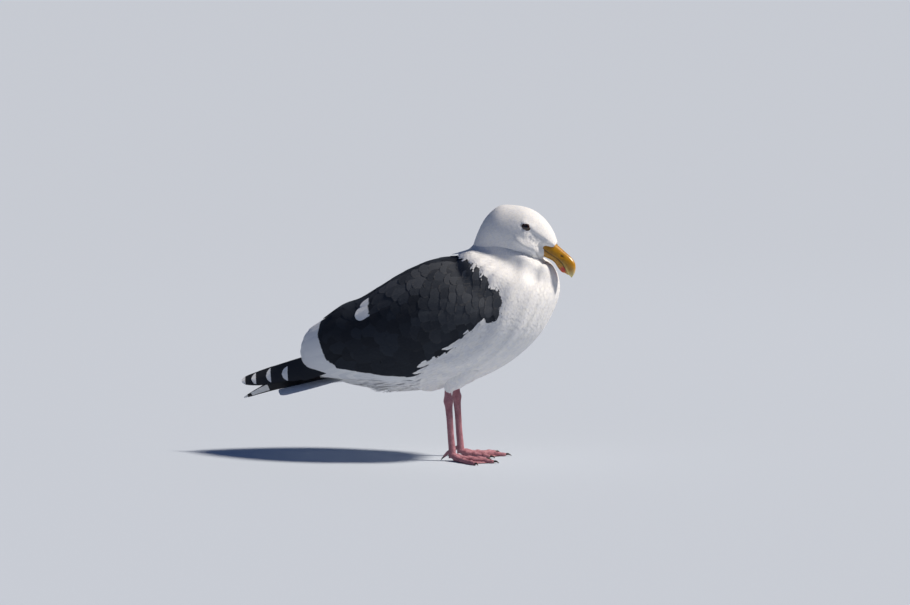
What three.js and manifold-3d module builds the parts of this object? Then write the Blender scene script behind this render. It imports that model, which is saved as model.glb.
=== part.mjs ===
// A western gull standing at rest: neck drawn in, bill pointing down, wings folded over a closed tail.
// Millimetres, +Z up, the bird faces +X and its left side is +Y. The floor is Z = 0. The dimensions below count from
// a point on the floor midway between the legs, and the last lines move the origin to the middle of the bird's box.
// Every solid reaches out to the tips of the plumage.
import * as THREE from "three";
import { mergeVertices } from "three/addons/utils/BufferGeometryUtils.js";
import Module from "manifold-3d";

const wasm = await Module();
wasm.setup();

const GAP = 0.35; // clearance between neighbouring solids
const DEG = Math.PI / 180;

// ---- Driving dimensions ----
const LEG_SPACING = 50; // between the two legs, centre to centre
const FOOT_JOINT_HEIGHT = 9;
const TOE_LENGTH = { inner: 44, middle: 59, outer: 53 };
const TOE_SPREAD = { inner: 17, middle: -12, outer: -44 }; // degrees from straight ahead, towards the midline
const CLAW_LENGTH = 7.5;
const EYE_RADIUS = 7.4;
const EYE = { x: 102.5, y: 17.2, z: 306.5 }; // centre of the left eye, before the head is turned
const HEAD_TURN = -8 * DEG; // towards the bird's right
const HEAD_PIVOT_X = 72;

// The body from the root of the tail to the top of the neck, inside the head. Each row is one section, which runs from
// a point on the back to a point on the belly: back x, back z, belly x, belly z, half width, how far down the section
// is widest (0 to 1), and the squareness of its upper and lower halves (2 is an ellipse).
const BODY = [
  [-158, 114, -158, 101, 20, 0.5, 2, 2],
  [-131, 144, -138, 95, 33, 0.56, 1.9, 2],
  [-102, 178, -107, 90.5, 46, 0.6, 1.8, 2.1],
  [-75, 207, -71, 88, 56, 0.64, 1.7, 2.2],
  [-47, 237, -36, 91, 62, 0.66, 1.7, 2.2],
  [-20, 258, 0, 97, 66, 0.66, 1.7, 2.2],
  [3, 269, 40, 110, 68, 0.64, 1.8, 2.2],
  [12, 272, 80, 134, 67, 0.6, 2.3, 2.2],
  [17, 274, 113, 167, 63, 0.57, 2.5, 2.2],
  [20, 275.5, 134.5, 207, 55, 0.52, 2.4, 2],
  [26, 282, 139, 233, 36, 0.51, 1.85, 1.8],
  [36, 292.5, 132, 254, 27, 0.54, 1.75, 1.8],
  [49, 301, 118, 262.5, 18, 0.54, 1.8, 2],
  [62, 304, 100, 270, 12, 0.5, 2, 2],
];
const NECK_FROM = 8.6; // section where the trunk ends and the neck begins

// The head from the nape to the feather edge round the bill, in the same columns, before it is turned.
const HEAD = [
  [23, 279, 41, 260, 16, 0.5, 2, 2.4],
  [32.5, 302, 51, 260.5, 21, 0.5, 2, 2.8],
  [43, 319, 60, 260, 24, 0.5, 2, 3],
  [59.5, 332, 70, 260, 26.2, 0.52, 2, 3],
  [80, 333, 86, 258.5, 27.2, 0.53, 2, 2.8],
  [98, 330, 99.5, 259.5, 26, 0.5, 2, 2.3],
  [112, 323, 110, 261.5, 23, 0.5, 2, 2],
  [124, 312, 118, 264.5, 18.5, 0.5, 2, 2],
  [133, 298.5, 123, 267, 13.5, 0.5, 2, 2],
  [138.5, 284.5, 127, 271, 9.2, 0.5, 2, 2],
];

// A folded wing and the mantle between the two: x, height of the top, height of the wing's lower edge, half width.
const WING = [
  [86, 228, 188, 46],
  [76, 240, 178, 59],
  [50, 254, 164, 70],
  [20, 264, 146, 75],
  [-10, 265.5, 125, 76],
  [-40, 259, 107, 75],
  [-70, 245, 104.5, 70],
  [-100, 225, 106, 62.5],
  [-125, 208.5, 107, 54.5],
  [-150, 198.5, 106, 44.5],
  [-176, 180, 106, 33],
  [-197, 165, 111, 21],
  [-208, 147, 126, 8],
];
const MANTLE_HALF_ANGLE = 34 * DEG; // angles are from the top of the section
const WING_LOWER_EDGE = 132 * DEG;
const MANTLE_ENDS = [2.6, 11.5]; // rows of the wing that the mantle lies between
const WING_THICKNESS = 10;

// The closed primaries of each wing: x, distance from the midline, z, half depth of the stack, half thickness.
const PRIMARIES = {
  left: [
    [-130, 27, 124, 13, 2.6],
    [-170, 26, 112, 16, 2.4],
    [-205, 23, 101, 13.5, 2],
    [-240, 18, 91.5, 8.5, 1.5],
    [-265, 14, 82, 5, 1],
    [-287, 11, 72, 1.4, 0.6],
  ],
  right: [
    [-130, 22, 136, 14, 2.6],
    [-170, 20, 125, 18, 2.4],
    [-205, 15, 113.5, 18, 2],
    [-240, 10, 105.5, 13, 1.5],
    [-265, 7, 99.5, 9.5, 1],
    [-286, 5, 95.5, 5, 0.6],
  ],
};
const PRIMARIES_SHOW = 176; // distance behind the legs where the primaries leave the wing
const PRIMARY_LEAN = 24 * DEG; // the top of the stack leans to the midline
const TAIL = { root: -128, tip: -236, rootZ: 112, tipZ: 85, rootHalf: 20, tipHalf: 31, camber: 6, thickness: 3.2 };

// The bill: culmen x, z, mouth line x, z, lower edge x, z, half width. The head's turn is applied afterwards.
const BILL = [
  [129, 290, 119.5, 280.5, 113.5, 270.5, 8.6],
  [139, 282.5, 129.5, 273, 123.5, 266.5, 7.9],
  [148.5, 274.8, 139.3, 267, 133.8, 261.5, 6.9],
  [156.2, 268.5, 147, 260.4, 139.7, 253.6, 6.2],
  [161.5, 262, 150.6, 253.9, 144.5, 248.5, 5.6],
  [163.2, 255.7, 152.4, 250, 149.3, 247, 4.6],
  [162, 248, 154.4, 246.4, 153.4, 244.6, 3.2],
  [158, 241.4, 156.8, 243, 156.4, 243.4, 1.1],
];
const LOWER_BILL_END = 5.9; // the lower mandible stops short of the hook

// The legs, from the leg's own axis: x, y outwards, z, half size fore and aft, half size across.
const THIGH_END = 93; // height where the plumage of the thigh stops
const THIGH = [
  [36, 14, 152, 18, 12],
  [24, 12, 133, 22, 16],
  [9, 7, 111, 16, 13],
  [0, 1, 99, 9, 8],
  [-3, 0, 92, 5.4, 4.8],
];
const SHANK = [
  [-3.4, 0, 93.5, 4.6, 4],
  [-3.6, 0, 86, 4.7, 3.9],
  [-3.2, 0, 78.5, 6.3, 4.8],
  [-2.6, 0, 70, 4.9, 3.6],
  [-1.4, 0, 55, 4.3, 3],
  [0, 0, 34, 4.2, 2.9],
  [1.6, 0, 17, 4.5, 3.4],
  [2.2, 0, 8.5, 4.8, 4.2],
];
const TOE_THICKNESS = { base: 4.3, tip: 2.5 };
const WEB_THICKNESS = 1.5;
const HIND_TOE = { height: 13, length: 9 }; // its claw reaches the floor

const MATERIALS = {
  white_plumage: new THREE.MeshStandardMaterial({ color: 0xf1f1ef, roughness: 0.85 }),
  slate_plumage: new THREE.MeshStandardMaterial({ color: 0x3a3d43, roughness: 0.8 }),
  black_plumage: new THREE.MeshStandardMaterial({ color: 0x131314, roughness: 0.7 }),
  bill: new THREE.MeshStandardMaterial({ color: 0xe0a516, roughness: 0.35 }),
  leg: new THREE.MeshStandardMaterial({ color: 0xd79aa2, roughness: 0.55 }),
  claw: new THREE.MeshStandardMaterial({ color: 0x1c1917, roughness: 0.4 }),
  eye: new THREE.MeshStandardMaterial({ color: 0x2a1c10, roughness: 0.08 }),
};

// ---- Curves and surfaces ----

// A smooth curve through rows of numbers, each column on its own (uniform Catmull-Rom); u counts rows.
function along(rows, u) {
  const last = rows.length - 1;
  const i = Math.min(Math.floor(Math.max(u, 0)), last - 1);
  const t = u - i;
  const [a, b, c, d] = [i - 1, i, i + 1, i + 2].map((k) => rows[Math.min(Math.max(k, 0), last)]);
  return b.map(
    (_, k) =>
      b[k] +
      0.5 * t * (c[k] - a[k] + t * (2 * a[k] - 5 * b[k] + 4 * c[k] - d[k] + t * (3 * (b[k] - c[k]) + d[k] - a[k]))),
  );
}

function evenly(from, to, count) {
  return Array.from({ length: count }, (_, i) => from + ((to - from) * i) / (count - 1));
}

function smoothstep(from, to, x) {
  const t = Math.min(Math.max((x - from) / (to - from), 0), 1);
  return t * t * (3 - 2 * t);
}

// A closed solid skinned over rings of equal length, with a fan at each end.
function skin(rings) {
  const count = rings[0].length;
  const points = rings.flat();
  const faces = [];
  for (let r = 0; r + 1 < rings.length; r++) {
    for (let i = 0; i < count; i++) {
      const [a, b] = [r * count + i, r * count + ((i + 1) % count)];
      faces.push(a, b, b + count, a, b + count, a + count);
    }
  }
  for (const [first, ring, turn] of [[0, rings[0], true], [points.length - count, rings.at(-1), false]]) {
    const middle = points.length;
    points.push(ring.reduce((sum, p) => sum.add(p), new THREE.Vector3()).divideScalar(count));
    for (let i = 0; i < count; i++) {
      const [a, b] = [first + i, first + ((i + 1) % count)];
      faces.push(middle, ...(turn ? [b, a] : [a, b]));
    }
  }
  const geometry = new THREE.BufferGeometry().setFromPoints(points);
  geometry.setIndex(faces);
  return geometry;
}

// A closed geometry as a manifold solid with its faces pointing out.
function solid(geometry) {
  const bare = geometry.clone();
  bare.deleteAttribute("normal");
  bare.deleteAttribute("uv");
  const merged = mergeVertices(bare, 1e-4);
  const vertProperties = merged.attributes.position.array;
  const triVerts = new Uint32Array(merged.index.array);
  const make = () => new wasm.Manifold(new wasm.Mesh({ numProp: 3, vertProperties, triVerts }));
  const made = make();
  if (made.volume() > 0) return made;
  triVerts.reverse();
  return make();
}

function geometryOf(made) {
  const { vertProperties, triVerts } = made.getMesh();
  const geometry = new THREE.BufferGeometry();
  geometry.setAttribute("position", new THREE.BufferAttribute(vertProperties, 3));
  geometry.setIndex(new THREE.BufferAttribute(triVerts, 1));
  return geometry;
}

// The largest body of a solid, without crumbs that a cut leaves.
function largest(made) {
  return made.decompose().reduce((best, body) => (body.volume() > best.volume() ? body : best));
}

// A tube of oval sections: rows of x, y, z, half size fore and aft, half size across.
function limb(rows, steps, sides = 12, side = 1, grow = 0) {
  const last = rows.length - 1;
  const placed = rows.map(([x, y, z, fore, across]) => [x, side * y, z, fore + grow, across + grow]);
  const rings = evenly(0, last, steps).map((u) => {
    const [x, y, z, fore, across] = along(placed, u);
    const ahead = along(placed, Math.min(u + 0.05, last));
    const behind = along(placed, Math.max(u - 0.05, 0));
    const way = new THREE.Vector3(ahead[0] - behind[0], ahead[1] - behind[1], ahead[2] - behind[2]).normalize();
    const side = new THREE.Vector3(0, 1, 0).addScaledVector(way, -way.y).normalize();
    const front = new THREE.Vector3().crossVectors(side, way);
    return evenly(0, 2 * Math.PI, sides + 1).slice(0, -1).map((a) =>
      new THREE.Vector3(x, y, z).addScaledVector(front, fore * Math.cos(a)).addScaledVector(side, across * Math.sin(a)),
    );
  });
  return skin(rings);
}

// ---- Body ----

function turnHead(point, share) {
  const angle = HEAD_TURN * share;
  const x = point.x - HEAD_PIVOT_X;
  const [c, s] = [Math.cos(angle), Math.sin(angle)];
  return point.set(HEAD_PIVOT_X + x * c - point.y * s, x * s + point.y * c, point.z);
}

// One section of the body or the head, grown by a margin: two half superellipses that meet at the widest level.
function section(rows, u, grow, sides, turn) {
  const [bx, bz, vx, vz, half, widest, upper, lower] = along(rows, u);
  const length = Math.hypot(vx - bx, vz - bz);
  const down = new THREE.Vector3((vx - bx) / length, 0, (vz - bz) / length);
  const centre = new THREE.Vector3(bx, 0, bz).addScaledVector(down, widest * length);
  return evenly(0, 2 * Math.PI, sides + 1).slice(0, -1).map((a) => {
    const power = 2 / (Math.cos(a) > 0 ? upper : lower);
    const reach = Math.cos(a) > 0 ? widest * length : (1 - widest) * length;
    const rise = Math.sign(Math.cos(a)) * (reach + grow) * Math.abs(Math.cos(a)) ** power;
    const out = Math.sign(Math.sin(a)) * (half + grow) * Math.abs(Math.sin(a)) ** power;
    const point = centre.clone().addScaledVector(down, -rise);
    point.y = out;
    return turnHead(point, turn);
  });
}

function wholeBody(grow = 0) {
  const last = BODY.length - 1;
  return solid(skin(evenly(0, last, 22).map((u) => section(BODY, u, grow, 22, smoothstep(9, 12, u)))));
}

function wholeHead(grow = 0) {
  return solid(skin(evenly(0, HEAD.length - 1, 14).map((u) => section(HEAD, u, grow, 20, 1))));
}

// The part of a solid on the tail's side of the plane through section u, moved by an offset, or on the bill's side.
function cutAtSection(made, u, offset, keepBillSide) {
  const [bx, bz, vx, vz] = along(BODY, u);
  const length = Math.hypot(vx - bx, vz - bz);
  const normal = [-(vz - bz) / length, 0, (vx - bx) / length]; // towards the bill
  const distance = normal[0] * bx + normal[2] * bz;
  return keepBillSide
    ? made.trimByPlane(normal, distance + offset)
    : made.trimByPlane(normal.map((n) => -n), -(distance + offset));
}

function eyeCentre(side) {
  return turnHead(new THREE.Vector3(EYE.x, side * EYE.y, EYE.z), 1);
}

function eyeball(side, radius) {
  const { x, y, z } = eyeCentre(side);
  return solid(new THREE.SphereGeometry(radius, 14, 9)).translate([x, y, z]);
}

// ---- Wings and tail ----

// A plate that wraps the body between two angles from the top, from row to row of the wing's table. Its outer wall
// follows an oval round the body, and its inner wall lies a tapering depth inside that.
function wrap(fromAngle, toAngle, fromRow, toRow, rows, columns, grow = 0) {
  const across = evenly(0, 1, columns);
  const rings = evenly(fromRow, toRow, rows).map((u) => {
    const [x, top, edge, half] = along(WING, u);
    const rise = (top - edge) / (1 - Math.cos(WING_LOWER_EDGE));
    const ends = Math.min(1, 0.15 + 1.1 * (u - fromRow), 0.2 + 0.9 * (toRow - u));
    const at = (b, depth) => {
      const a = fromAngle + b * (toAngle - fromAngle);
      return new THREE.Vector3(x, (half - depth) * Math.sin(a), top - rise + (rise - depth) * Math.cos(a));
    };
    const depth = (b) => 0.9 + WING_THICKNESS * ends * Math.sqrt(Math.sin(Math.PI * b)) + grow;
    return [...across.map((b) => at(b, -grow)), ...across.toReversed().map((b) => at(b, depth(b)))];
  });
  return solid(skin(rings));
}

function wing(side, grow = 0) {
  const upper = MANTLE_HALF_ANGLE + 0.35 * DEG - (grow && 1 * DEG);
  return wrap(side * upper, side * WING_LOWER_EDGE, 0, WING.length - 1, 17, 10, grow);
}

function mantle(grow = 0) {
  const [from, to] = MANTLE_ENDS;
  return wrap(-MANTLE_HALF_ANGLE, MANTLE_HALF_ANGLE, from, to, 12, 8, grow);
}

// The stacked primaries of one wing, as a lean blade with a lens section.
function primaries(name, side) {
  const rows = PRIMARIES[name];
  const rings = evenly(0, rows.length - 1, 13).map((u) => {
    const [x, y, z, deep, thick] = along(rows, u);
    return evenly(0, 2 * Math.PI, 11).slice(0, -1).map((a) => {
      const [rise, out] = [deep * Math.cos(a), thick * Math.sin(a)];
      const [c, s] = [Math.cos(PRIMARY_LEAN), Math.sin(PRIMARY_LEAN)];
      return new THREE.Vector3(x, side * (y - rise * s + out * c), z + rise * c + out * s);
    });
  });
  return solid(skin(rings));
}

// The closed tail: an arched plate that widens and thins to its tip.
function tail() {
  const rings = evenly(0, 1, 9).map((t) => {
    const x = TAIL.root + t * (TAIL.tip - TAIL.root);
    const z = TAIL.rootZ + t * (TAIL.tipZ - TAIL.rootZ);
    const half = TAIL.rootHalf + Math.sqrt(t) * (TAIL.tipHalf - TAIL.rootHalf);
    const thick = TAIL.thickness * (1 - 0.6 * t);
    const at = (b, drop) => {
      const round = 6 * Math.max(0, t - 0.8) * 5 * b * b;
      return new THREE.Vector3(x + round, b * half, z - TAIL.camber * b * b - drop * (1 - 0.5 * b * b));
    };
    const across = evenly(-1, 1, 9);
    return [...across.map((b) => at(b, 0)), ...across.toReversed().map((b) => at(b, thick))];
  });
  return solid(skin(rings));
}

// ---- Bill ----

// Half of the bill between the mouth line and the culmen (upper) or the lower edge.
function mandible(isUpper) {
  const end = isUpper ? BILL.length - 1 : LOWER_BILL_END;
  const rings = evenly(0, end, 16).map((u) => {
    const [cx, cz, mx, mz, gx, gz, half] = along(BILL, u);
    const [tx, tz] = isUpper ? [cx, cz] : [gx, gz];
    const mouth = new THREE.Vector3(mx, 0, mz);
    const rim = new THREE.Vector3(tx - mx, 0, tz - mz);
    const height = Math.max(rim.length(), 0.9);
    rim.normalize();
    const shrink = isUpper ? 1 : Math.min(1, 0.35 + 0.9 * (end - u)) * 0.94;
    return evenly(0, Math.PI, 9).map((a) => {
      const point = mouth.clone().addScaledVector(rim, 0.2 + (height - 0.2) * Math.sin(a) ** 0.9);
      point.y = half * shrink * Math.cos(a);
      return turnHead(point, 1);
    });
  });
  return solid(skin(rings));
}

// ---- Legs ----

// A point on the named toe of a foot, at a share of its length.
function onToe(name, share, side) {
  const angle = TOE_SPREAD[name] * DEG;
  const r = TOE_LENGTH[name] * share;
  return new THREE.Vector3(2 + r * Math.cos(angle), -side * r * Math.sin(angle), 0);
}

function toe(name, side) {
  const rows = [0, 0.18, 0.34, 0.5, 0.66, 0.82, 1].map((share, i) => {
    const { x, y } = onToe(name, share, side);
    const knuckle = i % 2 ? 0.45 : 0;
    const half = TOE_THICKNESS.base + (TOE_THICKNESS.tip - TOE_THICKNESS.base) * share + knuckle;
    const z = 0.82 * half + 4.5 * (1 - share) ** 6;
    return [x, y, z, half * 0.95, half];
  });
  return solid(limb(rows, 7, 7));
}

// The web between two toes, a flat plate with a hollowed front edge.
function web(first, second, side) {
  const [from, to] = [onToe(first, 0.95, side), onToe(second, 0.95, side)];
  const dip = onToe(first, 0.74, side).add(onToe(second, 0.74, side)).multiplyScalar(0.5);
  const shape = new THREE.Shape();
  shape.moveTo(0, 0);
  shape.lineTo(from.x, from.y);
  shape.quadraticCurveTo(dip.x, dip.y, to.x, to.y);
  shape.closePath();
  const plate = new THREE.ExtrudeGeometry(shape, { depth: WEB_THICKNESS, bevelEnabled: false, curveSegments: 5 });
  return solid(plate).translate([0, 0, 0.7]);
}

function hindToe(side) {
  const { height, length } = HIND_TOE;
  const rows = [
    [2, 0, height, 2.4, 2.4],
    [-5, -side * 1.5, height - 3.2, 2.2, 2.2],
    [-5 - length * 0.55, -side * 3, height - 8, 1.6, 1.6],
  ];
  return solid(limb(rows, 5, 8));
}

function foot(side) {
  const joint = limb(
    [
      [2.2, 0, FOOT_JOINT_HEIGHT, 4.8, 4.2],
      [2.6, 0, 5.5, 5.4, 4.9],
      [3, 0, 0.5, 4.6, 4.6],
    ],
    4,
    10,
  );
  const pieces = [
    solid(joint),
    ...Object.keys(TOE_LENGTH).map((name) => toe(name, side)),
    web("inner", "middle", side),
    web("middle", "outer", side),
  ];
  const joined = pieces.reduce((sum, piece) => sum.add(piece));
  return joined.trimByPlane([0, 0, 1], 0).trimByPlane([0, 0, -1], -FOOT_JOINT_HEIGHT);
}

function claw(name, side) {
  const start = onToe(name, 1, side);
  const out = start.clone().setX(start.x - 2).normalize();
  const at = (share, z, half) => {
    const p = start.clone().addScaledVector(out, GAP + share * CLAW_LENGTH);
    return [p.x, p.y, z, half, half];
  };
  return solid(limb([at(0, 2.4, 1.7), at(0.4, 2.8, 1.4), at(0.75, 2, 0.9), at(1, 0.6, 0.4)], 5, 6));
}

function hindClaw(side) {
  const { height, length } = HIND_TOE;
  const x = -5 - length * 0.55 - GAP;
  const rows = [
    [x, -side * 3, height - 8.2, 1.2, 1.2],
    [x - 2.4, -side * 3.6, height - 10.4, 0.9, 0.9],
    [x - 3.6, -side * 3.8, height - 13, 0.6, 0.6],
  ];
  return solid(limb(rows, 4, 6)).trimByPlane([0, 0, 1], 0);
}

// ---- Assembly ----

const gull = new THREE.Group();

function place(parent, name, made, material) {
  const mesh = new THREE.Mesh(geometryOf(largest(made)), MATERIALS[material]);
  mesh.name = name;
  parent.add(mesh);
}

const sides = { left: 1, right: -1 };
const body = wholeBody().subtract(wholeHead(GAP));
const bodyMargin = wholeBody(GAP).add(wholeHead(GAP));

let head = wholeHead();
for (const side of Object.values(sides)) {
  head = head.subtract(eyeball(side, EYE_RADIUS + GAP));
}
place(gull, "head", head, "white_plumage");
place(gull, "neck", cutAtSection(body, NECK_FROM, GAP / 2, true), "white_plumage");

place(gull, "bill_upper", mandible(true).subtract(bodyMargin), "bill");
place(gull, "bill_lower", mandible(false).subtract(bodyMargin), "bill");
place(gull, "tail", tail().subtract(bodyMargin), "white_plumage");
place(gull, "mantle", mantle().subtract(bodyMargin), "slate_plumage");

let trunk = cutAtSection(body, NECK_FROM, -GAP / 2, false);
for (const [name, side] of Object.entries(sides)) {
  place(gull, `eye_${name}`, eyeball(side, EYE_RADIUS), "eye");
  place(gull, `wing_${name}`, wing(side).subtract(bodyMargin), "slate_plumage");
  const blade = primaries(name, side).subtract(bodyMargin).subtract(wing(side, GAP)).subtract(mantle(GAP));
  place(gull, `primaries_${name}`, blade.trimByPlane([-1, 0, 0], PRIMARIES_SHOW), "black_plumage");

  const legY = (side * LEG_SPACING) / 2;
  const leg = new THREE.Group();
  leg.position.y = legY;
  gull.add(leg);
  const thighRoom = solid(limb(THIGH, 8, 12, side, GAP)).translate([0, legY, 0]);
  trunk = trunk.subtract(thighRoom);
  const thigh = solid(limb(THIGH, 8, 12, side)).trimByPlane([0, 0, 1], THIGH_END);
  place(leg, `thigh_${name}`, thigh, "white_plumage");
  const shank = solid(limb(SHANK, 13, 10)).trimByPlane([0, 0, -1], GAP - THIGH_END);
  place(leg, `shank_${name}`, shank.trimByPlane([0, 0, 1], FOOT_JOINT_HEIGHT + GAP), "leg");
  place(leg, `foot_${name}`, foot(side), "leg");
  const shankRoom = solid(limb(SHANK, 13, 10, 1, GAP));
  place(leg, `hind_toe_${name}`, hindToe(side).subtract(shankRoom), "leg");
  for (const toeName of Object.keys(TOE_LENGTH)) {
    place(leg, `claw_${name}_${toeName}`, claw(toeName, side), "claw");
  }
  place(leg, `claw_${name}_hind`, hindClaw(side), "claw");
}
place(gull, "trunk", trunk, "white_plumage");

// The part's frame: the origin moves to the middle of the whole bird's box, on the floor.
const box = new THREE.Box3().setFromObject(gull);
gull.position.set(-(box.min.x + box.max.x) / 2, -(box.min.y + box.max.y) / 2, 0);

export default gull;
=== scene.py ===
"""A western gull standing at rest: one skin, the plumage as solid vanes, bill, eyes, claws, and a plain
studio."""
import math

import bpy
import numpy as np
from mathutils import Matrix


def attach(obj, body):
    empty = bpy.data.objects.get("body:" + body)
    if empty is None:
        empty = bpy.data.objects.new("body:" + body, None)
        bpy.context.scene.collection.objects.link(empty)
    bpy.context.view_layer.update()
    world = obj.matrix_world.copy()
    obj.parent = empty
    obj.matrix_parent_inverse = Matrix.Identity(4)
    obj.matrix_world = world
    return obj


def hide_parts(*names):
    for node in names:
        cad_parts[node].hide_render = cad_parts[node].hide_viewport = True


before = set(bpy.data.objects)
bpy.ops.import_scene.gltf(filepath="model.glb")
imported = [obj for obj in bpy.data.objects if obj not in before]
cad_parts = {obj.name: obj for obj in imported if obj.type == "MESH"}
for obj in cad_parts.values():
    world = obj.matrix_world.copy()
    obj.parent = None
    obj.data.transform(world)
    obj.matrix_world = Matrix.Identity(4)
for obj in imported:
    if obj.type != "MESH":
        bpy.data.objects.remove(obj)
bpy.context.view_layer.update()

MM = 0.001
TAU = 2 * math.pi
DEG = math.pi / 180

# Rows count in millimetres from the floor point midway between the legs, +X ahead and +Y to the bird's
# left. The part's own origin is the middle of its box, this far behind that point.
ORIGIN = np.array([62.3404, 0.0, 0.0])
SIDES = {"left": 1, "right": -1}

# ---- The solids' own sizes ----

# One section of the body or head per row: back x, back z, belly x, belly z, half width, how far down it
# is widest, and the squareness of its upper and lower halves.
BODY = np.array([
    [-158, 114, -158, 101, 20, 0.5, 2, 2],
    [-131, 144, -138, 95, 33, 0.56, 1.9, 2],
    [-102, 178, -107, 90.5, 46, 0.6, 1.8, 2.1],
    [-75, 207, -71, 88, 56, 0.64, 1.7, 2.2],
    [-47, 237, -36, 91, 62, 0.66, 1.7, 2.2],
    [-20, 258, 0, 97, 66, 0.66, 1.7, 2.2],
    [3, 269, 40, 110, 68, 0.64, 1.8, 2.2],
    [12, 272, 80, 134, 67, 0.6, 2.3, 2.2],
    [17, 274, 113, 167, 63, 0.57, 2.5, 2.2],
    [20, 275.5, 134.5, 207, 55, 0.52, 2.4, 2],
    [26, 282, 139, 233, 36, 0.51, 1.85, 1.8],
    [36, 292.5, 132, 254, 29.5, 0.54, 1.75, 1.8],
    [49, 301, 118, 262.5, 22.5, 0.54, 1.8, 2],
    [62, 304, 100, 270, 12, 0.5, 2, 2],
], float)
HEAD = np.array([
    [23, 279, 41, 260, 16, 0.5, 2, 2.4],
    [32.5, 302, 51, 260.5, 21, 0.5, 2, 2.8],
    [43, 319, 60, 260, 24, 0.5, 2, 3],
    [59.5, 332, 70, 260, 26.2, 0.52, 2, 3],
    [80, 333, 86, 258.5, 27.2, 0.53, 2, 2.8],
    [98, 330, 99.5, 259.5, 26, 0.5, 2, 2.3],
    [112, 323, 110, 261.5, 23, 0.5, 2, 2],
    [124, 312, 118, 264.5, 18.5, 0.5, 2, 2],
    [133, 298.5, 123, 267, 13.5, 0.5, 2, 2],
    [138.5, 284.5, 127, 271, 9.2, 0.5, 2, 2],
], float)
HEAD_TURN = -8 * DEG
HEAD_PIVOT_X = 72.0
GAPE = ((106.8, 293.0), (119.3, 284.0))
EYE = np.array([102.5, 17.2, 306.5])
EYE_RADIUS = 7.4
# Half the length and half the height of the opening between the lids.
LID_HALF = np.array([5.3, 3.5])

# The folded wings and the mantle: x, height of the top, height of the lower edge, half width.
WING = np.array([
    [86, 228, 188, 46],
    [76, 240, 178, 59],
    [50, 254, 164, 70],
    [20, 264, 146, 75],
    [-10, 265.5, 125, 76],
    [-40, 259, 107, 75],
    [-70, 245, 104.5, 70],
    [-100, 225, 106, 62.5],
    [-125, 208.5, 107, 54.5],
    [-150, 198.5, 106, 44.5],
    [-176, 180, 106, 33],
    [-197, 165, 111, 21],
    [-208, 147, 126, 8],
], float)
WING_EDGE = 132 * DEG

# The closed primaries: x, distance from the midline, z, half depth of the stack, half thickness.
PRIMARIES = {
    "left": np.array([
        [-130, 27, 124, 13, 2.6],
        [-170, 26, 112, 16, 2.4],
        [-205, 23, 101, 13.5, 2],
        [-240, 18, 91.5, 8.5, 1.5],
        [-265, 14, 82, 5, 1],
        [-287, 11, 72, 1.4, 0.6],
    ], float),
    "right": np.array([
        [-130, 22, 136, 14, 2.6],
        [-170, 20, 125, 18, 2.4],
        [-205, 15, 113.5, 18, 2],
        [-240, 10, 105.5, 13, 1.5],
        [-265, 7, 99.5, 9.5, 1],
        [-286, 5, 95.5, 5, 0.6],
    ], float),
}

# The bill: culmen x, z, mouth line x, z, lower edge x, z, half width.
BILL = np.array([
    [129, 290, 119.5, 280.5, 113.5, 270.5, 8.6],
    [139, 282.5, 129.5, 273, 123.5, 266.5, 7.9],
    [148.5, 274.8, 139.3, 267, 133.8, 261.5, 6.9],
    [156.2, 268.5, 147, 260.4, 139.7, 253.6, 6.2],
    [161.5, 262, 150.6, 253.9, 144.5, 248.5, 5.6],
    [163.2, 255.7, 152.4, 250, 149.3, 247, 4.6],
    [162, 248, 154.4, 246.4, 153.4, 244.6, 3.2],
    [158, 241.4, 156.8, 243, 156.4, 243.4, 1.1],
], float)
LOWER_BILL_END = 5.9
NOSTRIL_ROW = 2.25
# The middle of the red spot, on the bill's middle plane as the head is turned.
SPOT = np.array([147.6, -10.6, 253.2])

# Legs, from the leg's own axis: x, outwards y, z, half size fore and aft, half size across.
LEG_Y = 25.0
# All is bare skin below the first height, and the legs are bare up to the second.
BARE_BELOW = 86
BARE_LEG_BELOW = 94
THIGH = np.array([
    [36, 14, 152, 18, 12],
    [24, 12, 133, 22, 16],
    [9, 7, 111, 16, 13],
    [0, 1, 99, 9, 8],
    [-3, 0, 92, 5.4, 4.8],
], float)
SHANK = np.array([
    [-3.4, 0, 96, 4.6, 4],
    [-3.6, 0, 86, 4.7, 3.9],
    [-3.2, 0, 78.5, 6.3, 4.8],
    [-2.6, 0, 70, 4.9, 3.6],
    [-1.4, 0, 55, 4.3, 3],
    [0, 0, 34, 4.2, 2.9],
    [1.6, 0, 17, 4.5, 3.4],
    [2.2, 0, 8.5, 4.8, 4.2],
    [2.8, 0, 4.5, 5.4, 5.0],
], float)
TOE_LENGTH = {"inner": 44.0, "middle": 59.0, "outer": 53.0}
TOE_SPREAD = {"inner": 17 * DEG, "middle": -12 * DEG, "outer": -44 * DEG}
CLAW_LENGTH = 7.5

# The slate of the folded wings as seen from the side, as x and z of its front and lower edges.
SLATE_FRONT = np.array([
    [-12, 300],
    [-10, 272],
    [-3, 269],
    [11, 266.5],
    [33, 262],
    [47, 251],
    [57, 239],
    [73, 219],
    [78, 207],
    [75.5, 190],
    [54.5, 185.5],
    [37.5, 172],
    [18, 158.5],
    [3, 145],
    [-19, 135],
    [-27, 125.5],
    [-37, 110.5],
    [-44, 80],
], float)

# ---- Arrays of curves and surfaces ----


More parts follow.
